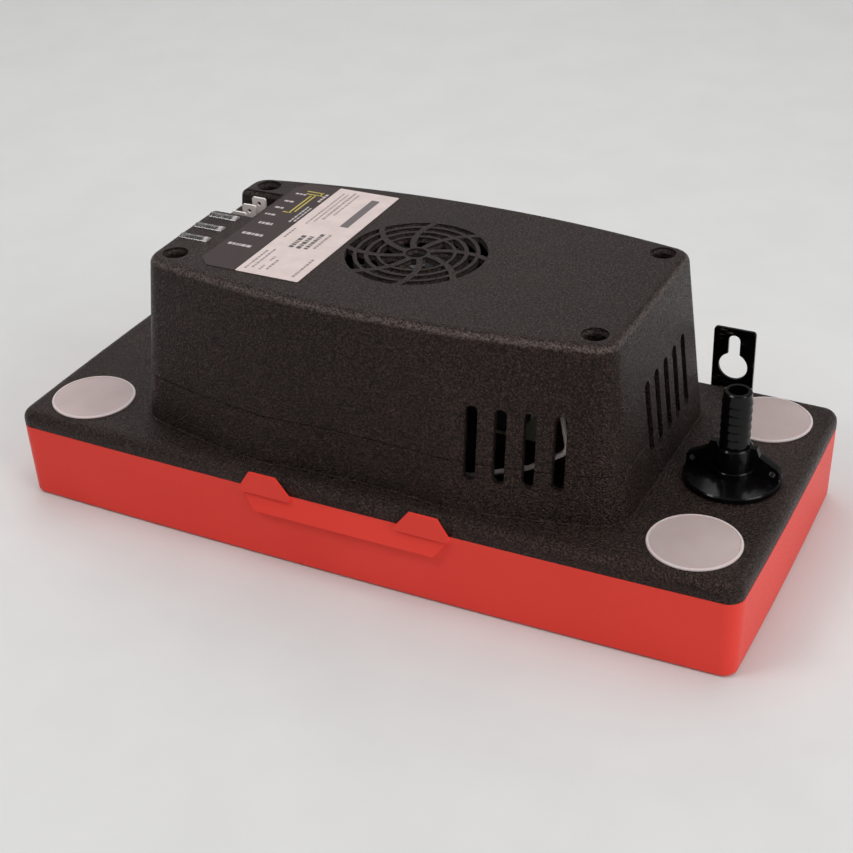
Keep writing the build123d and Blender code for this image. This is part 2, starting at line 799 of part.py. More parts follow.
def motor_shaft():
    body = post(0, 0, shaft_radius, impeller_low, shaft_high)
    return chamfer([body.edges().group_by(Axis.Z)[0], body.edges().group_by(Axis.Z)[-1]][0], 0.4)


def cooling_fan():
    """Axial fan: a domed hub with twisted blades lofted from root to tip."""
    hub = post(0, 0, fan_hub_radius, fan_low, fan_low + fan_height)
    hub = fillet(hub.edges().group_by(Axis.Z)[-1], 1.6)
    middle = fan_low + fan_height / 2

    def section(radius, chord, pitch):
        place = Plane(origin=(radius, 0, middle), x_dir=(0, 1, 0), z_dir=(1, 0, 0))
        return place * Rot(0, 0, pitch) * RectangleRounded(chord, blade_thickness, blade_thickness * 0.45)

    blade = loft([section(fan_hub_radius - 1.5, 8.0, blade_pitch_root),
                  section(fan_radius, 13.0, blade_pitch_tip)])
    blades = [Rot(0, 0, i * 360 / fan_blades) * blade for i in range(fan_blades)]
    return hub + blades - post(0, 0, shaft_radius, fan_low - 5, shaft_high + 0.01)


def shaft_slinger():
    """Disc on the shaft that throws off water before it reaches the lower bearing."""
    low = deck_top + shaft_collar + free_gap
    body = post(0, 0, slinger_radius - 2.5, low, low + slinger_height) + post(0, 0, slinger_radius, low, low + 1.0)
    return body - post(0, 0, shaft_radius, low - 1, low + slinger_height + 1)


def impeller():
    """Open impeller, eye downwards: backward-curved vanes under a disc."""
    disc = post(0, 0, impeller_radius, impeller_high - impeller_disc, impeller_high)
    hub = post(0, 0, impeller_hub_radius, impeller_low, impeller_high + 0.8)
    curve = impeller_radius * 0.8
    ring = Pos(curve, 0) * (Circle(curve + vane_thickness / 2) - Circle(curve - vane_thickness / 2))
    vane_face = ring & (Pos(impeller_radius, impeller_radius) * Rectangle(2 * impeller_radius, 2 * impeller_radius)
                        + Pos(0, impeller_radius) * Rectangle(vane_thickness, 2 * impeller_radius))
    vane_face = vane_face & Circle(impeller_radius - 0.1)
    vane = Pos(0, 0, impeller_low) * extrude(vane_face, vane_height)
    vanes = [Rot(0, 0, i * 360 / vane_count) * vane for i in range(vane_count)]
    return disc + hub + vanes - post(0, 0, shaft_radius, impeller_low - 1, impeller_high + 2)


def pump_housing():
    """Volute with a tangent outlet, a column round the shaft and three posts up to the deck."""
    roof = chamber_high + pump_wall
    boss_low = deck_under - deck_boss_depth
    outer = chamber_radius + pump_wall
    spout = Pos(0, outlet_y, pipe_level) * Rot(0, 90, 0)
    spout_radius = outlet_bore + discharge_wall
    adds = [spout * Cylinder(spout_radius, outlet_end, align=(Align.CENTER, Align.CENTER, Align.MIN)),
            post(0, 0, column_bore + column_wall, chamber_high, boss_low)]
    adds += [post(x, y, pump_post_radius, chamber_low, boss_low) for x, y in pump_posts()]
    body = post(0, 0, outer, chamber_low, roof) + adds
    cuts = [post(0, 0, chamber_radius, chamber_low - 1, chamber_high),
            post(0, 0, column_bore, chamber_low - 1, boss_low + 1),
            spout * Cylinder(outlet_bore, outlet_end + 1, align=(Align.CENTER, Align.CENTER, Align.MIN))]
    cuts += [post(x, y, pump_screw_radius + seat_gap, chamber_low - 1, boss_low + 1) for x, y in pump_posts()]
    weep = 3.0
    cuts.append(Pos(0, 0, boss_low - 4) * Box(4 * column_bore, weep, 5))
    return body - cuts


def intake_cover():
    """Plate that closes the volute, with an eye crossed by strainer bars and three standing ribs."""
    low = chamber_low - intake_plate
    body = post(0, 0, chamber_radius + pump_wall, low, chamber_low)
    body = body + [post(x, y, pump_post_radius, low, chamber_low) for x, y in pump_posts()]
    body = body + post(0, 0, chamber_radius - seat_gap, low, chamber_low + 0.8)
    body = body - post(0, 0, intake_radius, low - 1, chamber_low + 2)
    bars = [Rot(0, 0, a) * Box(2 * intake_radius + 1, 1.2, intake_plate) for a in (0, 90)]
    ribs = [Rot(0, 0, a) * block((intake_radius + 2, chamber_radius), (-0.8, 0.8), (low - intake_foot, low))
            for a in (0, 120, 240)]
    body = body + [Pos(0, 0, low + intake_plate / 2) * bar for bar in bars] + ribs
    return body - [post(x, y, pump_screw_radius + seat_gap, low - 1, chamber_low + 1) for x, y in pump_posts()]


def pump_screws():
    """Long screws driven up from below through intake cover, posts and deck bosses."""
    low = chamber_low - intake_plate
    made = []
    for x, y in pump_posts():
        upright = screw(x, y, pump_screw_radius, 2 * low - (deck_top - 1.2), pump_screw_head, low,
                        pump_screw_head_height, 0.7)
        made.append(upturned(upright, low))
    return made


def discharge_pipe():
    """Pipe along the tank from the volute's spout, bending up onto the socket's nipple."""
    bore = outlet_bore + discharge_wall + running_gap
    outer = bore + discharge_wall
    start = outlet_end - 9.0
    side_step = abs(outlet_y)
    points = [(start, outlet_y, pipe_level), (valve_x - 2.2 * side_step, outlet_y, pipe_level),
              (valve_x, 0, pipe_level), (valve_x, 0, valve_low - seat_gap - socket_wall - seat_gap)]
    path = FilletPolyline(*points, radius=(discharge_bend, discharge_bend * 0.8))
    section = Plane(origin=points[0], x_dir=(0, 1, 0), z_dir=(1, 0, 0))
    return sweep(section * (Circle(outer) - Circle(bore)), path=path)


def switch_bracket_posts():
    return [(pivot_x - 2.0, sy * 11.0) for sy in (-1, 1)]


def switch_places():
    return {"run": -switch_y, "safety": switch_y}


def switch_bolt_places():
    """The two cross bolts through both switches, as (x, z)."""
    middle = pivot_x + 2.0 - switch_length / 2
    return [(middle - 8.0, switch_low + 5.0), (middle + 8.0, switch_low + 12.0)]


def switch_bracket():
    """Moulded stand: a foot on two deck posts and a web between the two switches."""
    foot_low = deck_top + bracket_post_height
    half_web = switch_y - switch_width / 2 - running_gap
    right = pivot_x + 4.0
    left = float_x + crossbar_half_depth + 2.0
    web_bottom = block((pivot_x - 9.0, right), (-half_web, half_web), (foot_low, switch_low))
    web = block((left, right), (-half_web, half_web), (switch_low - 2.0, switch_low + switch_height - 1.0))
    foot = block((pivot_x - 9.0, right), (-16.0, 16.0), (foot_low, foot_low + bracket_foot_height))
    body = fillet(foot.edges().filter_by(Axis.Z), 3.0) + [web_bottom, web]
    brace = Plane.XZ * make_face(Polyline((left, switch_low - 2.0), (pivot_x - 9.0, switch_low - 2.0),
                                          (pivot_x - 9.0, switch_low - 14.0), close=True))
    body = body + Pos(0, half_web, 0) * extrude(brace, 2 * half_web)
    cuts = [post(x, y, switch_bolt_radius + seat_gap, foot_low - 1, foot_low + 4) for x, y in switch_bracket_posts()]
    cuts += [Pos(x, 0, z) * Rot(90, 0, 0) * Cylinder(switch_bolt_radius + running_gap, 4 * half_web)
             for x, z in switch_bolt_places()]
    return body - cuts


def bracket_screws():
    top = deck_top + bracket_post_height + bracket_foot_height
    return [screw(x, y, switch_bolt_radius, deck_under + 1.2, switch_bolt_head, top, switch_bolt_head_height, 0.7)
            for x, y in switch_bracket_posts()]


def switch_body(y):
    """Snap switch with two cheeks that carry the lever's trunnion."""
    right = pivot_x + 2.0
    body = block((right - switch_length, right), (y - switch_width / 2, y + switch_width / 2),
                 (switch_low, switch_low + switch_height))
    body = chamfer(body.edges().filter_by(Axis.Y), 0.8)
    cheek_gap = lever_width + 2 * free_gap
    cheeks = block((right - cheek_depth, right), (y - switch_width / 2, y + switch_width / 2),
                   (switch_low - cheek_drop, switch_low + 1.0))
    cheeks = cheeks - block((right - cheek_depth - 1, right + 1), (y - cheek_gap / 2, y + cheek_gap / 2),
                            (switch_low - cheek_drop - 1, switch_low))
    body = body + cheeks
    body = body - Pos(pivot_x, y, pivot_z) * Rot(90, 0, 0) * Cylinder(trunnion_radius + running_gap,
                                                                      trunnion_length + 2 * seat_gap)
    body = body - post(pivot_x - button_offset, y, button_radius + running_gap, switch_low - 1,
                       switch_low + button_length)
    for x, z in switch_bolt_places():
        body = body - Pos(x, y, z) * Rot(90, 0, 0) * Cylinder(switch_bolt_radius + running_gap, switch_width + 2)
    return body


def switch_lever(y, hang):
    """Leaf lever that hangs from its trunnion over the float's crossbar, with a turned-up tip."""
    length = (lever_reach + lever_tip) / math.cos(math.radians(hang))
    leaf = Pos(-length / 2, 0, 0) * Box(length, lever_width, lever_thickness)
    tip = Pos(-length, 0, lever_tip / 2) * Rot(0, -30, 0) * Box(lever_thickness, lever_width, lever_tip)
    trunnion = Rot(90, 0, 0) * Cylinder(trunnion_radius, trunnion_length)
    return Pos(pivot_x, y, pivot_z) * Rot(0, -hang, 0) * (leaf + tip + trunnion)


def switch_button(y, hang):
    """Button between the lever and the inside of its switch."""
    slope = math.radians(hang)
    near = button_offset - button_radius
    low = pivot_z - near * math.tan(slope) + lever_thickness / 2 / math.cos(slope) + seat_gap / 2
    body = post(pivot_x - button_offset, y, button_radius, low, low + button_length)
    return fillet(body.edges().group_by(Axis.Z)[0], 0.3)


def switch_bolts():
    """Cross bolts that clamp both switches to the web."""
    half = switch_y + switch_width / 2
    made = []
    for x, z in switch_bolt_places():
        shank = Cylinder(switch_bolt_radius, 2 * half + 4.0)
        head = Pos(0, 0, half + switch_bolt_head_height / 2) * Cylinder(switch_bolt_head, switch_bolt_head_height)
        nut = Pos(0, 0, -half - 2.4) * extrude(RegularPolygon(switch_bolt_head + 0.4, 6), 2.3)
        made.append(Pos(x, 0, z) * Rot(90, 0, 0) * (shank + head + nut))
    return made


def switch_blades():
    """Three spade terminals on top of each switch."""
    top = switch_low + switch_height
    half = blade_thickness_switch / 2
    made = []
    for y in switch_places().values():
        for i in range(3):
            right = pivot_x - blade_first - i * blade_pitch
            made.append(block((right - blade_width, right), (y - half, y + half), (top, top + blade_height)))
    return made


def float_block():
    """Closed float, rounded all over, with a bore for its stem."""
    body = block((float_x - float_length / 2, float_x + float_length / 2), (-float_width / 2, float_width / 2),
                 (float_low, float_low + float_height))
    body = fillet(body.edges().filter_by(Axis.Z), 2 * float_round)
    body = fillet(body.edges().group_by(Axis.Z)[0] + body.edges().group_by(Axis.Z)[-1], float_round)
    return body - post(float_x, 0, stem_radius, float_low + 2.0, float_low + float_height + 1)


def float_stem():
    """Rod from the float up through the deck's guide, with the crossbar that lifts both levers."""
    rod = post(float_x, 0, stem_radius, float_low + 2.0, stem_top)
    bar = block((float_x - crossbar_half_depth, float_x + crossbar_half_depth),
                (-crossbar_half_width, crossbar_half_width), (stem_top - crossbar_height, stem_top))
    return rod + fillet(bar.edges().filter_by(Axis.Z), 1.0)


def board_peg_places():
    return [board_front + board_peg_inset, board_back - board_peg_inset]


def indicator_board():
    """Circuit board under the roof that carries the lamps and the terminal block."""
    body = block((board_left, board_right), (board_front, board_back), (board_top - board_thickness, board_top))
    return fillet(body.edges().filter_by(Axis.Z), 1.0)


def lamp_x():
    return pipe_right - 3.0


def indicator_lamps():
    """Three small round-nosed lamps on the board."""
    made = []
    for y in pipe_places():
        body = post(lamp_x(), y, lamp_radius, board_top, board_top + lamp_height)
        made.append(fillet(body.edges().group_by(Axis.Z)[-1], lamp_radius * 0.8)
                    + post(lamp_x(), y, lamp_radius + 0.4, board_top, board_top + 0.8))
    return made


def light_pipes():
    """Clear bars let into the roof, half round on top, each with a leg down to its lamp."""
    made = []
    low = cover_top - cover_roof
    for y in pipe_places():
        base = block((pipe_left, pipe_right), (y - pipe_width / 2, y + pipe_width / 2), (low, cover_top))
        crown_radius = (pipe_width ** 2 / 4 + pipe_proud ** 2) / (2 * pipe_proud)
        crown = Pos((pipe_left + pipe_right) / 2, y, cover_top + pipe_proud - crown_radius) * Rot(0, 90, 0) \
            * Cylinder(crown_radius, pipe_right - pipe_left)
        crown = crown & block((pipe_left, pipe_right), (y - pipe_width / 2, y + pipe_width / 2),
                              (cover_top - 0.5, cover_top + pipe_proud + 1))
        leg = post(lamp_x(), y, lamp_radius, board_top + lamp_height + seat_gap, low + 0.5)
        made.append(base + crown + leg)
    return made


def terminal_block():
    """Moulded block on the board, under the tray, that holds the three terminals."""
    high = tray_floor - tray_wall - seat_gap
    body = block((tab_x - 6.5, tab_x + 6.5), (tab_front - 3.6, tab_front + (tab_count - 1) * tab_pitch + 3.6),
                 (board_top, high))
    body = chamfer(body.edges().group_by(Axis.Z)[-1], 0.6)
    hole = tab_thickness / 2 + running_gap
    return body - [block((x - tab_width / 2 - running_gap, x + tab_width / 2 + running_gap), (y - hole, y + hole),
                         (high - 5.0, high + 1)) for x, y in tab_places()]


def spade_terminals():
    """Quick-connect tabs with chamfered tips and a latching hole."""
    made = []
    low = tray_floor - tray_wall - seat_gap - 5.0
    for x, y in tab_places():
        body = block((x - tab_width / 2, x + tab_width / 2), (y - tab_thickness / 2, y + tab_thickness / 2),
                     (low, tab_top))
        tips = body.edges().filter_by(Axis.Y).group_by(Axis.Z)[-1]
        body = chamfer(tips, tab_tip_bevel)
        made.append(body - Pos(x, y, tab_top - tab_hole_drop) * Rot(90, 0, 0) * Cylinder(tab_hole, 4))
    return made


def rating_label():
    width, length = rating_label_size
    x, y = rating_label_centre
    face = Pos(x, y, cover_top + running_gap) * RectangleRounded(width, length, 0.6)
    return extrude(face, label_thickness)


def switch_label():
    """Dark label beside the rating label, with two corners cut off."""
    right = rating_label_centre[0] - rating_label_size[0] / 2 - 0.2
    back = rating_label_centre[1] + rating_label_size[1] / 2
    front = rating_label_centre[1] - rating_label_size[1] / 2
    cut = switch_label_cut
    outline = Polyline((right, front), (right, back), (switch_label_left + cut, back),
                       (switch_label_left, back - cut), (switch_label_left, front + cut),
                       (switch_label_left + cut, front), close=True)
    return extrude(Pos(0, 0, cover_top + running_gap) * make_face(outline), label_thickness)


def valve_body():
    """Turn-lock fitting: hose barb, collar, finger wings, flange disc, seal groove and two lugs."""
    flange_top = valve_flange_low + flange_thickness
    shoulder = ball_rest + ball_radius + ball_travel + 3.4
    barb_low = collar_top
    step = (barb_top - 2.0 - barb_low) / barb_count
    groove = valve_stem_radius - 2 * seal_wire - running_gap
    points = [(barb_bore, valve_low), (valve_stem_radius, valve_low), (valve_stem_radius, valve_low + groove_low),
              (groove, valve_low + groove_low), (groove, valve_low + groove_low + groove_height),
              (valve_stem_radius, valve_low + groove_low + groove_height), (valve_stem_radius, valve_flange_low),
              (flange_radius, valve_flange_low), (flange_radius, flange_top - 0.5), (flange_radius - 0.5, flange_top),
              (hub_radius, flange_top + flange_rise), (hub_radius, flange_top + hub_height - 0.3),
              (hub_radius - 0.3, flange_top + hub_height), (collar_radius, flange_top + hub_height),
              (collar_radius, collar_top - 0.6), (collar_radius - 0.6, collar_top)]
    for i in range(barb_count):
        points += [(barb_root_radius, barb_low + i * step), (barb_radius, barb_low + i * step + 0.4),
                   (barb_radius, barb_low + i * step + 1.0)]
    points += [(barb_root_radius, barb_top - 2.0), (barb_tip_radius, barb_top - barb_tip_bevel),
               (barb_tip_radius - barb_tip_bevel, barb_top), (barb_bore, barb_top), (barb_bore, shoulder),
               (ball_chamber, shoulder), (ball_chamber, valve_seat + 1.6), (barb_bore, valve_seat)]
    body = revolved(points)
    lug_high = deck_under - seat_gap
    lugs = [block((sx * (valve_stem_radius - 1), sx * (lug_reach - 0.4)), (-lug_width / 2, lug_width / 2),
                  (lug_high - lug_thickness, lug_high)) for sx in (-1, 1)]
    wing_face = Plane.XZ * make_face(Polyline(
        (collar_radius - 1.2, flange_top - 0.5), (wing_reach, flange_top - 0.5),
        (wing_reach, flange_top + wing_edge_height - 1.0), (wing_reach - 0.8, flange_top + wing_edge_height),
        (wing_waist_radius, flange_top + wing_waist_height), (wing_waist_radius - 1.2, collar_top),
        (collar_radius - 1.2, collar_top), close=True))
    wing = Pos(0, wing_thickness / 2, 0) * extrude(wing_face, wing_thickness)
    wing = wing - Pos(wing_reach - 2.5, 0, flange_top + 3.4) * Rot(90, 0, 0) * Cylinder(wing_hole, 10)
    body = body + lugs + [wing, mirror(wing, about=Plane.YZ)]
    return Pos(valve_x, 0, 0) * body


def valve_seal():
    """Rubber ring in the fitting's groove."""
    return Pos(valve_x, 0, valve_low + groove_low + groove_height / 2) * Torus(valve_stem_radius - seal_wire, seal_wire)


def check_ball():
    return Pos(valve_x, 0, ball_rest) * Sphere(ball_radius)


def valve_spring():
    """Light coil spring between the ball and the fitting's shoulder."""
    low = ball_rest + ball_radius * 0.62 + 2 * spring_wire
    high = ball_rest + ball_radius + ball_travel + 3.4 - spring_wire - running_gap
    path = Helix(pitch=(high - low) / spring_turns, height=high - low, radius=spring_radius)
    section = Plane(origin=path @ 0, z_dir=path % 0) * Circle(spring_wire)
    return Pos(valve_x, 0, low) * sweep(section, path=path)


def inlet_plug(sx, sy):
    """Push-in cap: a thin disc with a narrow raised rim over a hollow stub."""
    low = deck_top + running_gap
    high = low + plug_flange
    stub_in = plug_stub_radius - plug_skin
    face = high - plug_dish
    points = [(0, face), (plug_radius - 1.1, face), (plug_radius - 0.9, high), (plug_radius - 0.3, high),
              (plug_radius, high - 0.3), (plug_radius, low), (plug_stub_radius, low),
              (plug_stub_radius, plug_stub_low + 1.0), (plug_stub_radius - 0.6, plug_stub_low),
              (stub_in, plug_stub_low), (stub_in, face - plug_skin), (0, face - plug_skin)]
    return revolved(points, sx * plug_x, sy * plug_y)


def hanger_screw_y():
    return hanger_back - hanger_thickness - hanger_foot + hanger_screw_inset


def hanger_bracket(sx):
    """Steel angle with a keyhole: the plate stands behind the deck's edge, the foot runs in under it."""
    back = hanger_back
    plate = block((-hanger_width / 2, hanger_width / 2), (back - hanger_thickness, back),
                  (hanger_foot_low, hanger_top))
    plate = fillet(plate.edges().filter_by(Axis.Y).group_by(Axis.Z)[-1], hanger_corner)
    hole = Pos(0, back, keyhole_centre) * Rot(90, 0, 0) * Cylinder(keyhole_radius, 10)
    slot = upright_slot(keyhole_slot, keyhole_centre - keyhole_slot / 2, keyhole_top, 10)
    foot = block((-hanger_width / 2, hanger_width / 2), (back - hanger_thickness - hanger_foot, back),
                 (hanger_foot_low, hanger_foot_low + hanger_thickness))
    foot = fillet(foot.edges().filter_by(Axis.Z).group_by(Axis.Y)[0], hanger_corner)
    body = plate + foot - [hole, Pos(0, back, 0) * slot]
    body = fillet(body.edges().filter_by(Axis.X).sort_by_distance((0, back, hanger_foot_low))[0],
                  hanger_thickness * 0.8)
    body = body - post(0, hanger_screw_y(), hanger_screw_radius + seat_gap, hanger_foot_low - 1,
                       hanger_foot_low + 4)
    return Pos(sx * hanger_x, 0, 0) * body


def hanger_screws():
    """Short screws up through the feet of the hanger brackets into the deck."""
    low = hanger_foot_low
    return [upturned(screw(sx * hanger_x, hanger_screw_y(), hanger_screw_radius, 2 * low - (deck_top - 1.2),
                           hanger_screw_head, low, hanger_screw_head_height, 0.7), low) for sx in (-1, 1)]


def gland_place():
    """Middle of the upstand's left wall at the gland's height, with X along the wall's normal."""
    share = (gland_height - deck_top) / (cover_top - deck_top)
    x = -(base_half_length + (top_half_length - base_half_length) * share + house_end_bow)
    return Pos(x, 0, gland_height) * Rot(0, -90 + house_slope, 0)


def gland_hole():
    return gland_place() * Cylinder(gland_radius + running_gap, 4 * cover_wall)


def cord_gland():
    """Strain-relief bush in the left end, its bore empty."""
    lift = 0.15
    points = [(gland_bore, -8.0), (gland_radius - 1.0, -8.0), (gland_radius, -7.0), (gland_radius, lift),
              (gland_flange, lift), (gland_flange, lift + 1.4), (gland_flange - 1.2, lift + 2.2),
              (gland_bore + 1.2, lift + 5.5), (gland_bore, lift + 5.5)]
    return gland_place() * revolved(points)


def lead(points):
    """Insulated lead through the given points, with an even bend at each."""
    path = FilletPolyline(*points, radius=lead_bend)
    start = Plane(origin=path @ 0, z_dir=path % 0)
    return sweep(start * Circle(lead_radius), path=path)


def lead_routes(high):
    """Points of the two leads below a height: one along the housing's front wall, one round the motor."""
    wall = lead_wall_gap - base_middle
    low = deck_top + lead_floor_gap
    side = stack_half_width + lead_floor_gap
    right = screw_x - lead_floor_gap
    front_wall = [(right - 8.0, wall + 8.0, high), (right, wall + 1.0, low + 20.8), (right - 14.7, wall, low + 10.9),
                  (coil_bar_left, wall, low + 1.6), (pivot_x, wall + 2.0, low), (pivot_x - 2.0, wall + 14.0, high + 4.0)]
    motor_front = [(coil_bar_left - 2.0, -side, high), (stack_left - 2.0, -side, high - 3.0),
                   (pivot_x - 11.0, 10.0 - side, high + 1.0)]
    return [front_wall, motor_front]


def motor_leads():
    """Two leads from the coil, each with a sleeve on a run switch blade."""
    winding_top = (stack_low + stack_high) / 2 + winding_half_height()
    blade_top = switch_low + switch_height + blade_height
    y_end = switch_places()["run"]
    made = []
    coil_end = winding_top + running_gap
    for i, route in enumerate(lead_routes(coil_end + lead_rise - 0.5)):
        x_start = coil_middle() + lead_spread * (1 - 2 * i)
        x_end = pivot_x - blade_first - blade_width / 2 - i * blade_pitch
        sleeve_high = blade_top + sleeve_wall
        arrival = sleeve_high + 1.5 * lead_rise - i * lead_spread
        run = lead([(x_start, -lead_rise_y, coil_end), (x_start, -lead_rise_y, coil_end + lead_rise), *route,
                    (x_end, y_end, arrival), (x_end, y_end, sleeve_high)])
        half = blade_width / 2 + sleeve_wall
        thick = blade_thickness_switch / 2 + sleeve_wall
        sleeve = block((x_end - half, x_end + half), (y_end - thick, y_end + thick),
                       (blade_top - sleeve_length, sleeve_high))
        hollow = blade_thickness_switch / 2 + running_gap
        sleeve = sleeve - block((x_end - blade_width / 2 - running_gap, x_end + blade_width / 2 + running_gap),
                                (y_end - hollow, y_end + hollow), (blade_top - sleeve_length - 1, blade_top))
        made.append(run + sleeve)
    return made


def nodes():
    """Every piece under its own name; a list is a group of separate solids."""
    pieces = {
        "tank": tank(),
        "deck": deck(),
        "motor_cover": motor_cover(),
        "cover_screws": cover_screws(),
        "cord_gland": cord_gland(),
        "stator_stack": stator_stack(),
        "shading_rings": shading_rings(),
        "coil_bobbin": coil_bobbin(),
        "coil_winding": coil_winding(),
        "lower_bearing_bracket": bearing_bracket(),
        "upper_bearing_bracket": to_upper(bearing_bracket()),
        "lower_bearing": bearing_bush(),
        "upper_bearing": to_upper(bearing_bush()),
        "motor_bolts": motor_bolts(),
        "motor_leads": motor_leads(),
        "motor_shaft": motor_shaft(),
        "rotor_core": rotor_core(),
        "cooling_fan": cooling_fan(),
        "shaft_slinger": shaft_slinger(),
        "impeller": impeller(),
        "pump_housing": pump_housing(),
        "intake_cover": intake_cover(),
        "pump_screws": pump_screws(),
        "discharge_pipe": discharge_pipe(),
        "switch_bracket": switch_bracket(),
        "bracket_screws": bracket_screws(),
        "switch_bolts": switch_bolts(),
        "switch_blades": switch_blades(),
        "float_block": float_block(),
        "float_stem": float_stem(),
        "indicator_board": indicator_board(),
        "indicator_lamps": indicator_lamps(),
        "light_pipes": light_pipes(),
        "terminal_block": terminal_block(),
        "spade_terminals": spade_terminals(),
        "rating_label": rating_label(),
        "switch_label": switch_label(),
        "valve_body": valve_body(),
        "valve_seal": valve_seal(),
        "check_ball": check_ball(),
        "valve_spring": valve_spring(),
        "hanger_screws": hanger_screws(),
    }
    hangs = {"run": lever_hang, "safety": safety_lever_hang}
    for name, y in switch_places().items():
        pieces[name + "_switch"] = switch_body(y)
        pieces[name + "_switch_lever"] = switch_lever(y, hangs[name])
        pieces[name + "_switch_button"] = switch_button(y, hangs[name])
    sides = {(-1, -1): "front_left", (1, -1): "front_right", (1, 1): "back_right", (-1, 1): "back_left"}
    for (sx, sy), name in sides.items():
        pieces["inlet_plug_" + name] = inlet_plug(sx, sy)
    for sx, name in ((-1, "left"), (1, "right")):
        pieces["hanger_bracket_" + name] = hanger_bracket(sx)
    return pieces


os.makedirs("parts", exist_ok=True)
for node_name, piece in nodes().items():
    if isinstance(piece, list):
        piece = Compound([solid for item in piece for solid in item.solids()])
    export_step(piece, f"parts/{node_name}.step")
    print(node_name, len(piece.solids()), round(piece.volume, 1))
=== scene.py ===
"""Looks for a low-profile condensate pump: finishes, label printing, coil wire, check valve spring and a stage.

Everything is in metres in the CAD's own frame: +X along the tank, -Y the front, +Z up.
"""
import json
import math

import bpy
import numpy as np
from bpy.props import FloatProperty, FloatVectorProperty, IntProperty, PointerProperty, StringProperty
from mathutils import Matrix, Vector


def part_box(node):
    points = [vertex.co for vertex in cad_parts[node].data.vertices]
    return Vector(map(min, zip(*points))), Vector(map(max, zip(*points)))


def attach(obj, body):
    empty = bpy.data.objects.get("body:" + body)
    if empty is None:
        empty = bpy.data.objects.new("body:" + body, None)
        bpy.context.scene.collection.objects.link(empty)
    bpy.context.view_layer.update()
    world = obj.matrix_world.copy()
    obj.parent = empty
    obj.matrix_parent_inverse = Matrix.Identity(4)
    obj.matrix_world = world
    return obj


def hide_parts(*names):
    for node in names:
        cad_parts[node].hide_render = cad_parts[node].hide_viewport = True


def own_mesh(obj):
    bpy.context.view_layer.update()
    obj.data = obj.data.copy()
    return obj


bl_info = {
    "name": "Condensate pump looks",
    "version": (1, 0, 0),
    "blender": (4, 5, 0),
    "location": "View3D > Sidebar > Pump",
    "description": "Finishes, label printing, coil wire, check valve spring and a studio stage for a condensate pump",
    "category": "Object",
}

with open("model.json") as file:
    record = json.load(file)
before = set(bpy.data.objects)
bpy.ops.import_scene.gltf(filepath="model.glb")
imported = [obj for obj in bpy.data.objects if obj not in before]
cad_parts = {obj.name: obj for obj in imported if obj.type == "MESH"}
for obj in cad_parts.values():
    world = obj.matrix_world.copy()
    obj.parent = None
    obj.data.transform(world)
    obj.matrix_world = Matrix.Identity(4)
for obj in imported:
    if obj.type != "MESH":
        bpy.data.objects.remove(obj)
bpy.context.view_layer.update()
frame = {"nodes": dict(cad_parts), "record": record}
MM = 0.001
PHOTO_PIXELS = 853


def linear(code):
    """sRGB hex such as #AA8844 as a linear colour with alpha 1."""
    parts = [int(code[i:i + 2], 16) / 255 for i in (1, 3, 5)]
    return tuple(p / 12.92 if p <= 0.04045 else ((p + 0.055) / 1.055) ** 2.4 for p in parts) + (1.0,)


def pitch(*widths):
    """Scale of a pattern whose features are that many mm wide: one number, or one for each axis."""
    scales = tuple(1 / (width * MM) for width in widths)
    return scales if len(scales) > 1 else scales[0]


def add(tree, kind, links=None, **settings):
    """Adds a node with its settings and links.

    Links map an input to another node's output or to a value. A setting is a property or else an input's value, and
    ramp is the pairs of place and hex colour of a colour ramp's ends.
    """
    made = tree.nodes.new(kind)
    if "ramp" in settings:
        for end, (position, colour) in zip(made.color_ramp.elements, settings.pop("ramp")):
            end.position, end.color = position, linear(colour)
    for key, value in settings.items():
        if hasattr(made, key):
            setattr(made, key, value)
        else:
            made.inputs[key.replace("_", " ")].default_value = value
    for key, source in (links or {}).items():
        if isinstance(source, bpy.types.NodeSocket):
            tree.links.new(source, made.inputs[key])
        else:
            made.inputs[key].default_value = source
    return made


def shader(name, **sockets):
    """New material with a Principled shader whose constant sockets are set, its tree, and Object coordinates."""
    material = bpy.data.materials.new(name)
    material.use_nodes = True
    tree = material.node_tree
    principled = tree.nodes["Principled BSDF"]
    for key, value in sockets.items():
        principled.inputs[key.replace("_", " ")].default_value = value
    place = add(tree, "ShaderNodeTexCoord").outputs["Object"]
    return material, tree, principled, place


def surface(tree, principled, colour, gloss, relief=None):
    """Lets patterns drive the shader's colour, roughness and normal.

    Gloss is (pattern, low, high, start, end): roughness runs from low to high as the pattern runs from start to end.
    Relief is (pattern, share, height): the pattern stands up to that height, and that share of it shades.
    """
    tree.links.new(colour.outputs["Color"], principled.inputs["Base Color"])
    pattern, low, high, start, end = gloss
    rough = add(tree, "ShaderNodeMapRange", {"Value": pattern}, From_Min=start, From_Max=end, To_Min=low, To_Max=high)
    tree.links.new(rough.outputs["Result"], principled.inputs["Roughness"])
    if relief:
        pattern, share, height = relief
        bump = add(tree, "ShaderNodeBump", {"Height": pattern}, Strength=share, Distance=height)
        tree.links.new(bump.outputs["Normal"], principled.inputs["Normal"])


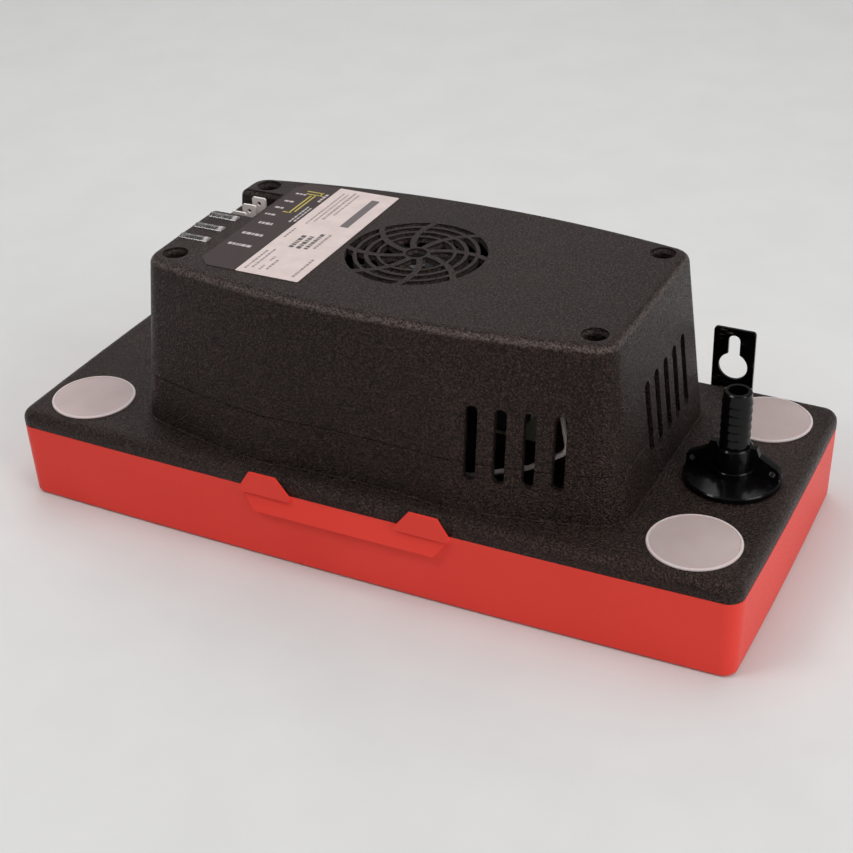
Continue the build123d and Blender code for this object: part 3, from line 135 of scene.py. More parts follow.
def grained_abs():
    """Moulded ABS from a spark-eroded tool: a pebbled grain that breaks every highlight into specks.

    The real grain is about 0.5 mm wide and is drawn at 0.8 mm, so that it shows. Its tips are painted paler than its
    pits: partly the grain's own tone, partly painted sparkle.
    """
    look = bpy.context.scene.pump_finish
    material, tree, principled, place = shader("moulded_abs_eroded_grain", IOR=1.52,
                                               Specular_IOR_Level=look.housing_gloss,
                                               Specular_Tint=linear(look.sheen_tint))
    pebbles = add(tree, "ShaderNodeTexNoise", {"Vector": place}, Scale=1 / look.grain_size, Detail=3.0,
                  Roughness=0.6).outputs["Fac"]
    pits = add(tree, "ShaderNodeTexVoronoi", {"Vector": place}, Scale=1.3 / look.grain_size,
               Randomness=1.0).outputs["Distance"]
    height = add(tree, "ShaderNodeMath", {0: pebbles, 1: pits}, operation="ADD").outputs["Value"]
    # The tone drifts a little over the width of a hand, as the mould's texture does.
    cloud = add(tree, "ShaderNodeTexNoise", {"Vector": place}, Scale=pitch(71.43), Detail=2.0)
    drift = add(tree, "ShaderNodeMapRange", {"Value": cloud.outputs["Fac"]}, From_Min=0.3, From_Max=0.7,
                To_Min=-0.02, To_Max=0.02)
    # The grain's tips are painted paler than its pits: partly the grain's own tone, partly painted sparkle where they
    # would catch the light.
    specks = add(tree, "ShaderNodeMath", {0: pebbles, 1: drift.outputs["Result"]}, operation="ADD")
    face = add(tree, "ShaderNodeValToRGB", {"Fac": specks.outputs["Value"]},
               ramp=((0.44, look.housing_shade), (0.68, look.housing_tone_and_sparkle)))
    # A painted highlight along the rounded edge of the roof: its grain's tips are painted paler in a narrow band.
    # The band begins, is full, fades and ends at these depths below the roof.
    begin, full, fade, end = (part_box("motor_cover")[1].z - depth * MM for depth in (3.2, 1.9, 1.3, 0.4))
    level = add(tree, "ShaderNodeSeparateXYZ", {"Vector": place}).outputs["Z"]
    above = add(tree, "ShaderNodeMapRange", {"Value": level}, From_Min=begin, From_Max=full)
    below = add(tree, "ShaderNodeMapRange", {"Value": level}, From_Min=fade, From_Max=end, To_Min=1.0, To_Max=0.0)
    band = add(tree, "ShaderNodeMath", {0: above.outputs["Result"], 1: below.outputs["Result"]}, operation="MULTIPLY")
    tips = add(tree, "ShaderNodeMapRange", {"Value": pebbles}, From_Min=0.4, From_Max=0.6, To_Min=0.15, To_Max=1.0)
    edge_highlight = add(tree, "ShaderNodeMath", {0: band.outputs["Value"], 1: tips.outputs["Result"]}, operation="MULTIPLY")
    toned = add(tree, "ShaderNodeMixRGB", {"Fac": edge_highlight.outputs["Value"], "Color1": face.outputs["Color"]},
                Color2=linear(look.edge_highlight_colour))
    surface(tree, principled, toned, (pebbles, 0.46, 0.22, 0.35, 0.65),
            (height, look.grain_strength, look.grain_depth))
    return material


def satin_abs():
    """Moulded ABS in red, off a polished tool: a satin face with faint flow clouds and handling scuffs.

    The scuffs run along the tank, about 17 mm long and 1 mm wide.
    """
    look = bpy.context.scene.pump_finish
    material, tree, principled, place = shader("moulded_abs_satin_red", IOR=1.52, Specular_IOR_Level=0.2,
                                               Specular_Tint=linear("#FFD0C8"))
    flow = add(tree, "ShaderNodeTexNoise", {"Vector": place}, Scale=pitch(111.1), Detail=4.0, Roughness=0.6)
    along = add(tree, "ShaderNodeMapping", {"Vector": place}, Scale=pitch(16.67, 1.111, 1.111))
    scuffs = add(tree, "ShaderNodeTexNoise", {"Vector": along.outputs["Vector"]}, Scale=1.0, Detail=2.0)
    skin = add(tree, "ShaderNodeTexNoise", {"Vector": place}, Scale=pitch(0.8), Detail=1.0)
    reds = add(tree, "ShaderNodeValToRGB", {"Fac": flow.outputs["Fac"]},
               ramp=((0.3, look.tank_shade), (0.7, look.tank_colour)))
    surface(tree, principled, reds, (scuffs.outputs["Fac"], 0.34, 0.46, 0.35, 0.7),
            (skin.outputs["Fac"], 0.12, 0.03 * MM))
    return material


def waxy_polyethylene():
    """Moulded polyethylene, undyed: milky, so that light soaks in. Its thin rim is painted paler than its face, a
    painted highlight.
    """
    look = bpy.context.scene.pump_finish
    material, tree, principled, place = shader("moulded_polyethylene_milky", IOR=1.5, Subsurface_Weight=0.25,
                                               Subsurface_Scale=1.5 * MM, Specular_IOR_Level=0.35)
    # The four plugs lie alike about both middle planes, so X and Y without their signs have one plug's centre.
    low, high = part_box("inlet_plug_front_right")
    centre = ((low.x + high.x) / 2, (high.y + low.y) / -2, 0.0)
    radius = (high.x - low.x) / 2
    folded = add(tree, "ShaderNodeVectorMath", {0: place}, operation="ABSOLUTE")
    offset = add(tree, "ShaderNodeVectorMath", {0: folded.outputs["Vector"], 1: centre}, operation="SUBTRACT")
    level = add(tree, "ShaderNodeVectorMath", {0: offset.outputs["Vector"], 1: (1.0, 1.0, 0.0)}, operation="MULTIPLY")
    away = add(tree, "ShaderNodeVectorMath", {0: level.outputs["Vector"]}, operation="LENGTH")
    # Painted highlight: the thin rim of each plug is painted paler, fading in from 1.1 mm to 0.7 mm inside its edge.
    rim = add(tree, "ShaderNodeMapRange", {"Value": away.outputs["Value"]}, From_Min=radius - 1.1 * MM,
              From_Max=radius - 0.7 * MM)
    cloud = add(tree, "ShaderNodeTexNoise", {"Vector": place}, Scale=pitch(22.22), Detail=3.0)
    skin = add(tree, "ShaderNodeTexNoise", {"Vector": place}, Scale=pitch(0.7), Detail=1.0).outputs["Fac"]
    face = add(tree, "ShaderNodeValToRGB", {"Fac": cloud.outputs["Fac"]},
               ramp=((0.3, look.plug_shade), (0.7, look.plug_colour)))
    toned = add(tree, "ShaderNodeMixRGB", {"Fac": rim.outputs["Result"], "Color1": face.outputs["Color"]},
                Color2=linear(look.plug_rim_highlight))
    surface(tree, principled, toned, (skin, 0.4, 0.52, 0.3, 0.7), (skin, 0.1, 0.02 * MM))
    return material


def glossy_nylon():
    """Polished black nylon: nearly a mirror at the edges, with slow ripples left by shrinkage."""
    material, tree, principled, place = shader("polished_nylon_black", IOR=1.53, Specular_IOR_Level=0.2)
    ripple = add(tree, "ShaderNodeTexNoise", {"Vector": place}, Scale=pitch(5), Detail=1.5).outputs["Fac"]
    dust = add(tree, "ShaderNodeTexNoise", {"Vector": place}, Scale=pitch(0.6), Detail=2.0).outputs["Fac"]
    blacks = add(tree, "ShaderNodeValToRGB", {"Fac": ripple}, ramp=((0.35, "#050404"), (0.65, "#0B090A")))
    surface(tree, principled, blacks, (dust, 0.12, 0.26, 0.4, 0.75), (ripple, 0.15, 0.12 * MM))
    return material


def scratched_black_steel():
    """Blackened sheet steel: dark and slightly shiny, with a few fine slanting scratches down to the metal.

    A scratch is about 0.4 mm wide and shows only where a blotch about 6 mm wide lies over it.
    """
    material, tree, principled, place = shader("blackened_sheet_steel", Metallic=0.75)
    slanted = add(tree, "ShaderNodeMapping", {"Vector": place}, Scale=pitch(3.333, 3.333, 0.3846),
                  Rotation=(0.0, math.radians(24), 0.0))
    lines = add(tree, "ShaderNodeTexNoise", {"Vector": slanted.outputs["Vector"]}, Scale=1.0,
                Detail=3.0).outputs["Fac"]
    blotch = add(tree, "ShaderNodeTexNoise", {"Vector": place}, Scale=pitch(6), Detail=3.0).outputs["Fac"]
    marks = add(tree, "ShaderNodeMath", {0: lines, 1: blotch}, operation="MULTIPLY").outputs["Value"]
    bared = add(tree, "ShaderNodeValToRGB", {"Fac": marks}, ramp=((0.34, "#0D0C0C"), (0.5, "#A39D99")))
    surface(tree, principled, bared, (marks, 0.28, 0.5, 0.2, 0.45), (lines, 0.2, 0.03 * MM))
    return material


def laminated_steel():
    """Punched electrical steel in a pack: level bands, with blue-grey scale and rusty specks.

    The real sheets are 0.5 mm thick. The bands are drawn about 3 mm apart, so that the pack's layers show.
    """
    material, tree, principled, place = shader("punched_lamination_steel", Metallic=0.85)
    # At scale 1 a wave texture's bands lie 2 pi / 20 apart.
    bands = add(tree, "ShaderNodeTexWave", {"Vector": place}, bands_direction="Z",
                Scale=pitch(3.1416) * 2 * math.pi / 20, Distortion=0.4).outputs["Fac"]
    rust = add(tree, "ShaderNodeTexNoise", {"Vector": place}, Scale=pitch(4), Detail=4.0)
    scale = add(tree, "ShaderNodeValToRGB", {"Fac": rust.outputs["Fac"]}, ramp=((0.5, "#44464A"), (0.8, "#66584E")))
    surface(tree, principled, scale, (bands, 0.35, 0.6, 0.3, 0.7), (bands, 0.6, 0.08 * MM))
    return material


def clear_plastic(name, tint, roughness, weight):
    """Clear plastic whose body is tinted, with a faint haze that differs from place to place."""
    material, tree, principled, place = shader(name, IOR=1.49, Transmission_Weight=weight)
    haze = add(tree, "ShaderNodeTexNoise", {"Vector": place}, Scale=pitch(3), Detail=2.0).outputs["Fac"]
    body = add(tree, "ShaderNodeValToRGB", {"Fac": haze}, ramp=((0.35, tint[0]), (0.65, tint[1])))
    surface(tree, principled, body, (haze, roughness * 0.7, roughness * 1.3, 0.3, 0.7))
    return material


def cast_acrylic():
    """Cast acrylic light guide in a black slot: dark and glassy, with a pale tip over its lamp that is a painted
    highlight.
    """
    material, tree, principled, place = shader("cast_acrylic_clear", IOR=1.49, Transmission_Weight=0.3,
                                               Specular_IOR_Level=0.7)
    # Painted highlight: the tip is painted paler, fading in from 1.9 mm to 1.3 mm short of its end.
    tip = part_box("light_pipes")[1].x
    across = add(tree, "ShaderNodeSeparateXYZ", {"Vector": place}).outputs["X"]
    tip_highlight = add(tree, "ShaderNodeMapRange", {"Value": across}, From_Min=tip - 1.9 * MM, From_Max=tip - 1.3 * MM)
    haze = add(tree, "ShaderNodeTexNoise", {"Vector": place}, Scale=pitch(1.2), Detail=2.0)
    blend = add(tree, "ShaderNodeMath", {0: haze.outputs["Fac"], 1: tip_highlight.outputs["Result"]},
                operation="ADD").outputs["Value"]
    body = add(tree, "ShaderNodeValToRGB", {"Fac": blend}, ramp=((0.45, "#4A4644"), (1.0, "#C9C2BF")))
    surface(tree, principled, body, (blend, 0.05, 0.3, 0.5, 1.3))
    return material


def speckled(name, colours, roughness, speck_mm, depth_mm, metallic=0.0, stretch=(1.0, 1.0, 1.0), **sockets):
    """Plain finish with one pattern: specks of a real size that vary colour, roughness and height together."""
    material, tree, principled, place = shader(name, Metallic=metallic, **sockets)
    grid = add(tree, "ShaderNodeMapping", {"Vector": place}, Scale=tuple(s / (speck_mm * MM) for s in stretch))
    specks = add(tree, "ShaderNodeTexNoise", {"Vector": grid.outputs["Vector"]}, Scale=1.0, Detail=2.5,
                 Roughness=0.6).outputs["Fac"]
    tones = add(tree, "ShaderNodeValToRGB", {"Fac": specks}, ramp=((0.35, colours[0]), (0.65, colours[1])))
    surface(tree, principled, tones, (specks, *roughness, 0.3, 0.7), (specks, 0.5, depth_mm * MM))
    return material


def make_finishes():
    """One finish for each material slot of the record, by slot name."""
    look = bpy.context.scene.pump_finish
    drawn_up = (1.0, 1.0, 0.03)
    rolled_up = (1.0, 1.0, 0.08)
    return {
        "black_housing": grained_abs(),
        "red_tank": satin_abs(),
        "inlet_plug": waxy_polyethylene(),
        "gloss_nylon": glossy_nylon(),
        "black_steel": scratched_black_steel(),
        "lamination_steel": laminated_steel(),
        "clear_acrylic": cast_acrylic(),
        # Plasticised vinyl tube: hazy and slightly grey.
        "clear_vinyl": clear_plastic("extruded_vinyl_hazy", ("#B9C2C1", "#D3D9D8"), 0.22, 0.5),
        # Epoxy lamp lens: milky green, smooth.
        "lamp_lens": clear_plastic("cast_epoxy_lens", ("#BFD6B8", "#D8E8D2"), 0.15, 0.35),
        # Glass-filled nylon: dull black with a fine fibrous skin.
        "black_nylon": speckled("glass_filled_nylon_black", ("#1B1B1E", "#29292C"), (0.45, 0.62), 0.7, 0.03),
        # Natural nylon: waxy cream.
        "natural_nylon": speckled("moulded_nylon_natural", ("#CFC7B4", "#DDD6C6"), (0.38, 0.52), 1.5, 0.02,
                                  Subsurface_Weight=0.2, Subsurface_Scale=1.5 * MM),
        # Zinc plated steel: grey, with a crystal bloom.
        "zinc_screw": speckled("zinc_plated_steel", ("#6E6E6C", "#9C9C98"), (0.28, 0.5), 0.5, 0.02, 1.0),
        # Drawn stainless steel: bright, with lines along the draw.
        "stainless": speckled("drawn_stainless_steel", ("#A4A5A6", "#C6C7C8"), (0.2, 0.38), 0.25, 0.01, 1.0,
                              drawn_up),
        # Bare copper: warm, tarnished in patches.
        "copper": speckled("bare_copper", ("#8E4F2E", "#C87E55"), (0.25, 0.45), 1.2, 0.02, 1.0),
        # Enamelled copper wire: amber and shiny.
        "winding_tape": speckled("enamelled_copper_wire", ("#8A4A1C", "#C07A34"), (0.2, 0.36), 0.8, 0.02, 0.6),
        # Die-cast zinc alloy: grey with a flow-marked skin.
        "diecast_alloy": speckled("die_cast_zinc_alloy", ("#85888A", "#ABAEB0"), (0.36, 0.55), 1.4, 0.05, 0.9),
        # Sintered bronze: matt and full of tiny pores.
        "sintered_bronze": speckled("sintered_bronze", ("#7A5F36", "#A98A54"), (0.5, 0.7), 0.3, 0.05, 0.9),
        # Tinned brass strip: pale, with rolling lines.
        "tinned_brass": speckled("tinned_brass_strip", ("#E6DAD4", "#F6EEEA"), (0.3, 0.46), 0.35, 0.01, 0.3,
                                 rolled_up),
        # Vinyl lead insulation: pale and softly shiny.
        "lead_insulation": speckled("extruded_vinyl_insulation", (look.lead_shade, look.lead_colour), (0.35, 0.5),
                                    1.8, 0.02),
        # Phenolic switch case: brown-black and slightly glossy.
        "switch_case": speckled("moulded_phenolic", ("#171517", "#242122"), (0.3, 0.45), 0.9, 0.03),
        # Acetal button: smooth dull red.
        "button_plastic": speckled("moulded_acetal_red", ("#7E2622", "#983530"), (0.3, 0.42), 0.9, 0.01),
        # Solder mask over woven glass laminate: green with the weave just showing.
        "circuit_board": speckled("solder_masked_laminate", ("#235B39", "#377A52"), (0.25, 0.4), 0.8, 0.03),
        # Printed polyester label: a flat warm white with a soft sheen.
        "white_label": speckled("printed_polyester_white", (look.label_shade, look.label_colour), (0.32, 0.42),
                                6.0, 0.01),
        # Printed polyester label, brown-grey ink: duller than the white one.
        "dark_label": speckled("printed_polyester_dark", ("#3A3130", "#443A39"), (0.5, 0.62), 4.0, 0.01,
                               Specular_IOR_Level=0.12),
        # Polypropylene fan: charcoal, smooth.
        "fan_plastic": speckled("moulded_polypropylene", ("#242527", "#313235"), (0.4, 0.55), 1.0, 0.02),
        # Expanded foam skin: off-white with a fine pebble.
        "float_foam": speckled("expanded_foam_skin", ("#CBC6BB", "#DEDAD2"), (0.55, 0.7), 1.6, 0.1),
        # Nitrile rubber: dull black with mould bloom.
        "black_rubber": speckled("moulded_nitrile_rubber", ("#141414", "#232323"), (0.6, 0.8), 0.8, 0.04),
    }


def finish_named(name):
    """A finish that the finishes operator has made."""
    found = bpy.data.materials.get(name)
    if found is None:
        raise RuntimeError(f"finish {name} is missing: run the finishes first")
    return found


def ink(name, low, high):
    """Screen-printed ink: flat, with the faint mottle of the mesh it was pressed through."""
    return speckled(name, (low, high), (0.35, 0.5), 0.6, 0.005)


def closed_grid(points):
    """Faces of a grid of points that closes on itself both ways, for points[row, column]."""
    rows, columns = points.shape[:2]
    index = np.arange(rows * columns).reshape(rows, columns)
    right = np.roll(index, -1, axis=1)
    up = np.roll(index, -1, axis=0)
    up_right = np.roll(right, -1, axis=0)
    return np.stack([index, right, up_right, up], axis=-1).reshape(-1, 4)


def new_piece(name, vertices, faces, material):
    """Puts numpy vertices and quads into a mesh object with one material."""
    mesh = bpy.data.meshes.new(name)
    mesh.from_pydata(vertices.reshape(-1, 3).tolist(), [], faces.tolist())
    mesh.update()
    mesh.materials.append(material)
    piece = bpy.data.objects.new(name, mesh)
    bpy.context.scene.collection.objects.link(piece)
    return piece


def printed_bars(bars, low, high):
    """Thin slabs of ink. Each bar is (x, y, width along x, length along y), in mm.

    A slab is the grid u, v in -1..1 scaled to the bar's half sizes, once at the low level and once at the high one.
    """
    bars = np.array(bars, float) * MM
    corners = np.array([(-1, -1), (1, -1), (1, 1), (-1, 1)], float)
    points = np.empty((len(bars), 2, 4, 3))
    points[..., :2] = (bars[:, None, :2] + corners * bars[:, None, 2:] / 2)[:, None]
    points[..., 2] = np.array([low, high])[:, None]
    ring = np.arange(4)
    sides = np.stack([ring, np.roll(ring, -1), np.roll(ring, -1) + 4, ring + 4], axis=-1)
    slab = np.concatenate([sides, [[3, 2, 1, 0]], [[4, 5, 6, 7]]])
    faces = (slab + 8 * np.arange(len(bars))[:, None, None]).reshape(-1, 4)
    return points, faces


def dashes(start, length, across, width, seed, dash=1.5, gap=0.55):
    """Bars of one line of print along Y: (x, y, width along x, length along y) for each dash.

    Dash i is as long as the mean length times a seeded draw between 0.5 and 1.5, and the gaps are all alike.
    """
    draws = np.random.default_rng(seed).uniform(0.5, 1.5, int(length / (dash + gap)) + 1) * dash
    ends = np.cumsum(draws + gap) - gap
    kept = ends <= length
    middles = start + ends[kept] - draws[kept] / 2
    ones = np.ones(kept.sum())
    return np.stack([across * ones, middles, width * ones, draws[kept]], axis=-1)


def turned(bars):
    """The same bars with X and Y exchanged, so that a line of print runs along X."""
    return bars[:, [1, 0, 3, 2]]


def print_on(label, groups, height):
    """Prints groups of bars on a label that the head carries. Each group is (name, bars, low hex, high hex)."""
    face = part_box(label)[1].z
    for name, bars, low, high in groups:
        points, faces = printed_bars(bars, face, face + height)
        piece = new_piece(name, points, faces, ink("ink_" + name, low, high))
        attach(piece, "head")


def placed(right, up, back, place):
    """World matrix from three axes and a place."""
    matrix = np.eye(4)
    matrix[:3, 0], matrix[:3, 1], matrix[:3, 2], matrix[:3, 3] = right, up, back, place
    return Matrix(matrix.tolist())


class PumpFinish(bpy.types.PropertyGroup):
    """Colours and grain that a user would change."""

    tank_colour: StringProperty(name="Tank colour", description="Lit red of the tank, sRGB hex", default="#ED463B")
    tank_shade: StringProperty(name="Tank shade", description="Deeper red in the flow clouds, sRGB hex",
                               default="#E33D33")
    plug_colour: StringProperty(name="Plug colour", description="Pale tone of the inlet plugs, sRGB hex",
                                default="#B9A8A6")
    plug_shade: StringProperty(name="Plug shade", description="Deeper tone of the inlet plugs, sRGB hex",
                               default="#AD9B99")
    # Painted highlight on the thin rim of each plug.
    plug_rim_highlight: StringProperty(name="Plug rim", description="Tone of the thin rim of a plug, sRGB hex",
                             default="#D0C2C0")
    label_colour: StringProperty(name="Label colour", description="White of the rating label, sRGB hex",
                                 default="#D0BFBB")
    label_shade: StringProperty(name="Label shade", description="Deeper white of the rating label, sRGB hex",
                                default="#C6B4B0")
    lead_colour: StringProperty(name="Lead colour", description="Pale insulation of the leads, sRGB hex",
                                default="#C9BDB8")
    lead_shade: StringProperty(name="Lead shade", description="Deeper tone of the leads, sRGB hex",
                               default="#B5A8A3")
    # Paler end of the grain's tone, which also serves as painted sparkle on the grain's tips.
    housing_tone_and_sparkle: StringProperty(name="Housing colour", description="Paler tone of the grained housing, sRGB hex",
                                   default="#41332E")
    housing_shade: StringProperty(name="Housing shade", description="Darker tone of the grained housing, sRGB hex",
                                  default="#070605")
    # Painted highlight: tone of the grain's tips in the narrow band along the roof's rounded edge.
    edge_highlight_colour: StringProperty(name="Rubbed colour", description="Tone of the grain's tips where hands rub the "
                                  "roof's edge, sRGB hex", default="#5E5450")
    housing_gloss: FloatProperty(name="Housing gloss", description="Specular level of the grained housing",
                                 default=0.24, min=0.0, max=1.0, subtype="FACTOR")
    sheen_tint: StringProperty(name="Sheen tint", description="Warmth of the housing's shine, sRGB hex",
                               default="#FFE2DA")
    grain_size: FloatProperty(name="Grain size", description="Width of one pebble of the housing's grain",
                              default=0.8 * MM, min=0.2 * MM, max=3 * MM, unit="LENGTH", precision=5)
    grain_depth: FloatProperty(name="Grain depth", description="Height of the housing's grain",
                               default=0.38 * MM, min=0.0, max=1 * MM, unit="LENGTH", precision=5)
    grain_strength: FloatProperty(name="Grain strength", description="Share of the grain's height that shades",
                                  default=1.0, min=0.0, max=1.0, subtype="FACTOR")


class PumpPrinting(bpy.types.PropertyGroup):
    """Sizes of the label printing."""

    ink_height: FloatProperty(name="Ink height", description="Thickness of the printed ink",
                              default=0.03 * MM, min=0.01 * MM, max=0.2 * MM, unit="LENGTH", precision=5)
    line_width: FloatProperty(name="Line width", description="Width of a line of small print",
                              default=0.9 * MM, min=0.3 * MM, max=2 * MM, unit="LENGTH", precision=5)
    diagram_width: FloatProperty(name="Diagram line width", description="Width of the diagram's yellow lines",
                                 default=0.7 * MM, min=0.2 * MM, max=2 * MM, unit="LENGTH", precision=5)


class PumpCoil(bpy.types.PropertyGroup):
    """Sizes of the motor coil's wire."""

    turns: IntProperty(name="Turns per layer", description="Turns of wire side by side in the outer layer",
                       default=42, min=8, max=120)
    ridge: FloatProperty(name="Ridge height", description="Height of one turn above the gap beside it",
                         default=0.22 * MM, min=0.05 * MM, max=1 * MM, unit="LENGTH", precision=5)


class PumpSpring(bpy.types.PropertyGroup):
    """Sizes of the check valve's spring."""

    turns: IntProperty(name="Spring turns", description="Turns of the check valve's spring", default=4, min=2, max=12)
    wire: FloatProperty(name="Spring wire", description="Thickness of the spring's wire", default=0.6 * MM,
                        min=0.2 * MM, max=1 * MM, unit="LENGTH", precision=5)


class PumpStage(bpy.types.PropertyGroup):
    """Floor, lights and camera."""

    floor_size: FloatProperty(name="Floor size", description="Side of the square floor", default=6.0, min=1.0,
                              max=20.0, unit="LENGTH")
    key_power: FloatProperty(name="Key light", description="Power of the large light at the right", default=8.5,
                             min=0.0, max=500.0, subtype="POWER")
    top_power: FloatProperty(name="Top light", description="Power of the softbox overhead", default=7.5, min=0.0,
                             max=500.0, subtype="POWER")
    fill_power: FloatProperty(name="Fill light", description="Power of the light at the front", default=4.5,
                              min=0.0, max=500.0, subtype="POWER")
    back_power: FloatProperty(name="Back light", description="Power of the light behind, at the left", default=3.0,
                              min=0.0, max=500.0, subtype="POWER")
    room_strength: FloatProperty(name="Room light", description="Strength of the even light from all around",
                                 default=0.35, min=0.0, max=5.0)
    focal_pixels: FloatProperty(name="Focal length in pixels", description="Solved from the photograph's edges",
                                default=1648.2, min=100.0)
    camera_place: FloatVectorProperty(name="Camera place", description="Solved from the photograph's edges",
                                      default=(0.26051, -0.49770, 0.37178), subtype="TRANSLATION", unit="LENGTH")
    camera_angles: FloatVectorProperty(name="Camera angles", description="Azimuth, elevation and roll",
                                       default=(math.radians(27.512), math.radians(31.303), math.radians(-2.301)),
                                       subtype="EULER")


class PUMP_OT_finishes(bpy.types.Operator):
    """Gives every CAD piece the finish of its record slot"""

    bl_idname = "pump.finishes"
    bl_label = "Finishes"

    def execute(self, context):
        finishes = make_finishes()
        slots = {row["node"]: row["material_slot"] for row in frame["record"]["subparts"]}
        for node, piece in frame["nodes"].items():
            piece.data.materials.clear()
            piece.data.materials.append(finishes[slots[node]])
        return {"FINISHED"}


class PUMP_OT_rating_print(bpy.types.Operator):
    """Lines of neutral dashes on the white label, with no lettering"""

    bl_idname = "pump.rating_print"
    bl_label = "Rating label print"

    def execute(self, context):
        look = context.scene.pump_printing
        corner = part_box("rating_label")[0]
        left, front = corner.x / MM, corner.y / MM
        line = look.line_width / MM
        # Each row: distance from the label's left edge, from its front edge, length, width in line widths.
        small_rows = [(2.6, 3.0, 17.5, 1.0), (4.9, 4.5, 17.5, 1.0), (8.2, 4.0, 4.2, 1.1), (8.2, 12.0, 4.2, 1.1),
                      (10.8, 5.0, 9.5, 1.1), (2.4, 32.0, 10.0, 1.0), (4.0, 46.0, 32.0, 0.9), (6.0, 49.0, 30.0, 0.9),
                      (8.2, 52.0, 27.0, 1.2), (10.4, 57.0, 22.0, 0.9), (23.0, 3.0, 16.0, 1.2), (18.4, 27.0, 14.0, 1.2)]
        bold_rows = [(9.2, 25.0, 12.0, 2.1), (12.4, 25.0, 13.5, 2.1), (15.4, 25.5, 15.0, 1.8)]
        small, bold = (np.concatenate([dashes(front + y, length, left + x, line * wide, 10 * i, dash)
                                       for i, (x, y, length, wide) in enumerate(rows)])
                       for rows, dash in ((small_rows, 1.1), (bold_rows, 1.5)))
        band = [(left + 19.4, front + 62.0, 3.6, 27.0)]
        print_on("rating_label", (("rating_print_small", small, "#736665", "#8A7D7B"),
                                                 ("rating_print_bold", bold, "#332B2B", "#453C3C"),
                                                 ("rating_print_band", band, "#4B4242", "#5C5252")), look.ink_height)
        return {"FINISHED"}


class PUMP_OT_switch_print(bpy.types.Operator):
    """Yellow wiring lines and pale dashes on the dark label, with no lettering"""

    bl_idname = "pump.switch_print"
    bl_label = "Dark label print"

    def execute(self, context):
        look = context.scene.pump_printing
        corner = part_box("switch_label")[0]
        left, front = corner.x / MM, corner.y / MM
        line = look.line_width / MM
        thin = look.diagram_width / MM
        # Rows as on the white label: short ones along X by the lamps and terminals, then notes along Y.
        words = [(2.6, 19.6, 10.4, 2.0), (2.6, 29.8, 9.8, 2.0), (3.6, 40.4, 7.0, 2.0),
                 (1.6, 48.6, 6.0, 1.5), (2.0, 55.6, 5.0, 1.5), (2.4, 62.4, 5.2, 1.5), (3.0, 70.4, 5.6, 1.3)]
        notes = [(14.6, 45.0, 17.0, 0.9), (16.2, 46.0, 14.0, 0.9), (15.8, 66.0, 9.0, 1.4)]
        pale = [turned(dashes(left + x, length, front + y, line * wide, i, 1.35, 0.45))
                for i, (x, y, length, wide) in enumerate(words)]
        pale += [dashes(front + y, length, left + x, line * wide, 40 + i, 1.3)
                 for i, (x, y, length, wide) in enumerate(notes)]
        # Ladder of a wiring diagram, as bars: two rails along Y, joined along X, from the label's left and front.
        yellow = [(10.0, 61.6, thin, 18.0), (11.7, 63.2, thin, 18.0), (10.2, 74.0, 7.6, thin), (11.0, 71.6, 7.6, thin),
                  (9.0, 52.8, 3.8, thin), (13.4, 73.0, thin, 3.4)]
        yellow = np.array(yellow) + (left, front, 0.0, 0.0)
        print_on("switch_label", (("switch_print_pale", np.concatenate(pale), "#A59A99", "#C3B8B7"),
                                                ("switch_print_yellow", yellow, "#9C8A26", "#C2AF3E")),
                 look.ink_height)
        return {"FINISHED"}


class PUMP_OT_coil_wire(bpy.types.Operator):
    """Turns of enamelled wire in place of the plain winding"""

    bl_idname = "pump.coil_wire"
    bl_label = "Coil wire"

    def execute(self, context):
        coil = context.scene.pump_coil
        low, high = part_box("coil_winding")
        half_x, half_z = (high.x - low.x) / 2, (high.z - low.z) / 2
        winding_depth = 6.4 * MM
        # Round the coil, a ring is a rounded square: cos and sin keep their signs and are raised to the power 2 / 5.
        around = np.linspace(0, 2 * math.pi, 96, endpoint=False)
        power = 2 / 5
        cx = np.sign(np.cos(around)) * np.abs(np.cos(around)) ** power
        cz = np.sign(np.sin(around)) * np.abs(np.sin(around)) ** power

        def rings(inset, level):
            """Rings at levels along Y, each smaller all round than the winding by its inset."""
            inset, level = inset[:, None], level[:, None]
            return np.stack(np.broadcast_arrays((low.x + high.x) / 2 + (half_x - inset) * cx, level,
                                                (low.z + high.z) / 2 + (half_z - inset) * cz), axis=-1)

        # Along the coil, the face falls by the ridge's height times 1 - |sin| between two turns of wire.
        across = np.linspace(-1, 1, coil.turns * 6)
        sunk = coil.ridge * (1 - np.abs(np.sin(across * coil.turns * math.pi / 2)))
        y = across * (high.y - low.y) / 2
        # The section closes on itself: out along the ridged face, back along the smooth inner one.
        points = np.concatenate([rings(sunk, y), rings(np.full(2, winding_depth), y[[-1, 0]])])
        piece = new_piece("coil_wire", points, closed_grid(points)[:, ::-1], finish_named("enamelled_copper_wire"))
        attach(piece, "head")
        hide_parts("coil_winding")
        return {"FINISHED"}


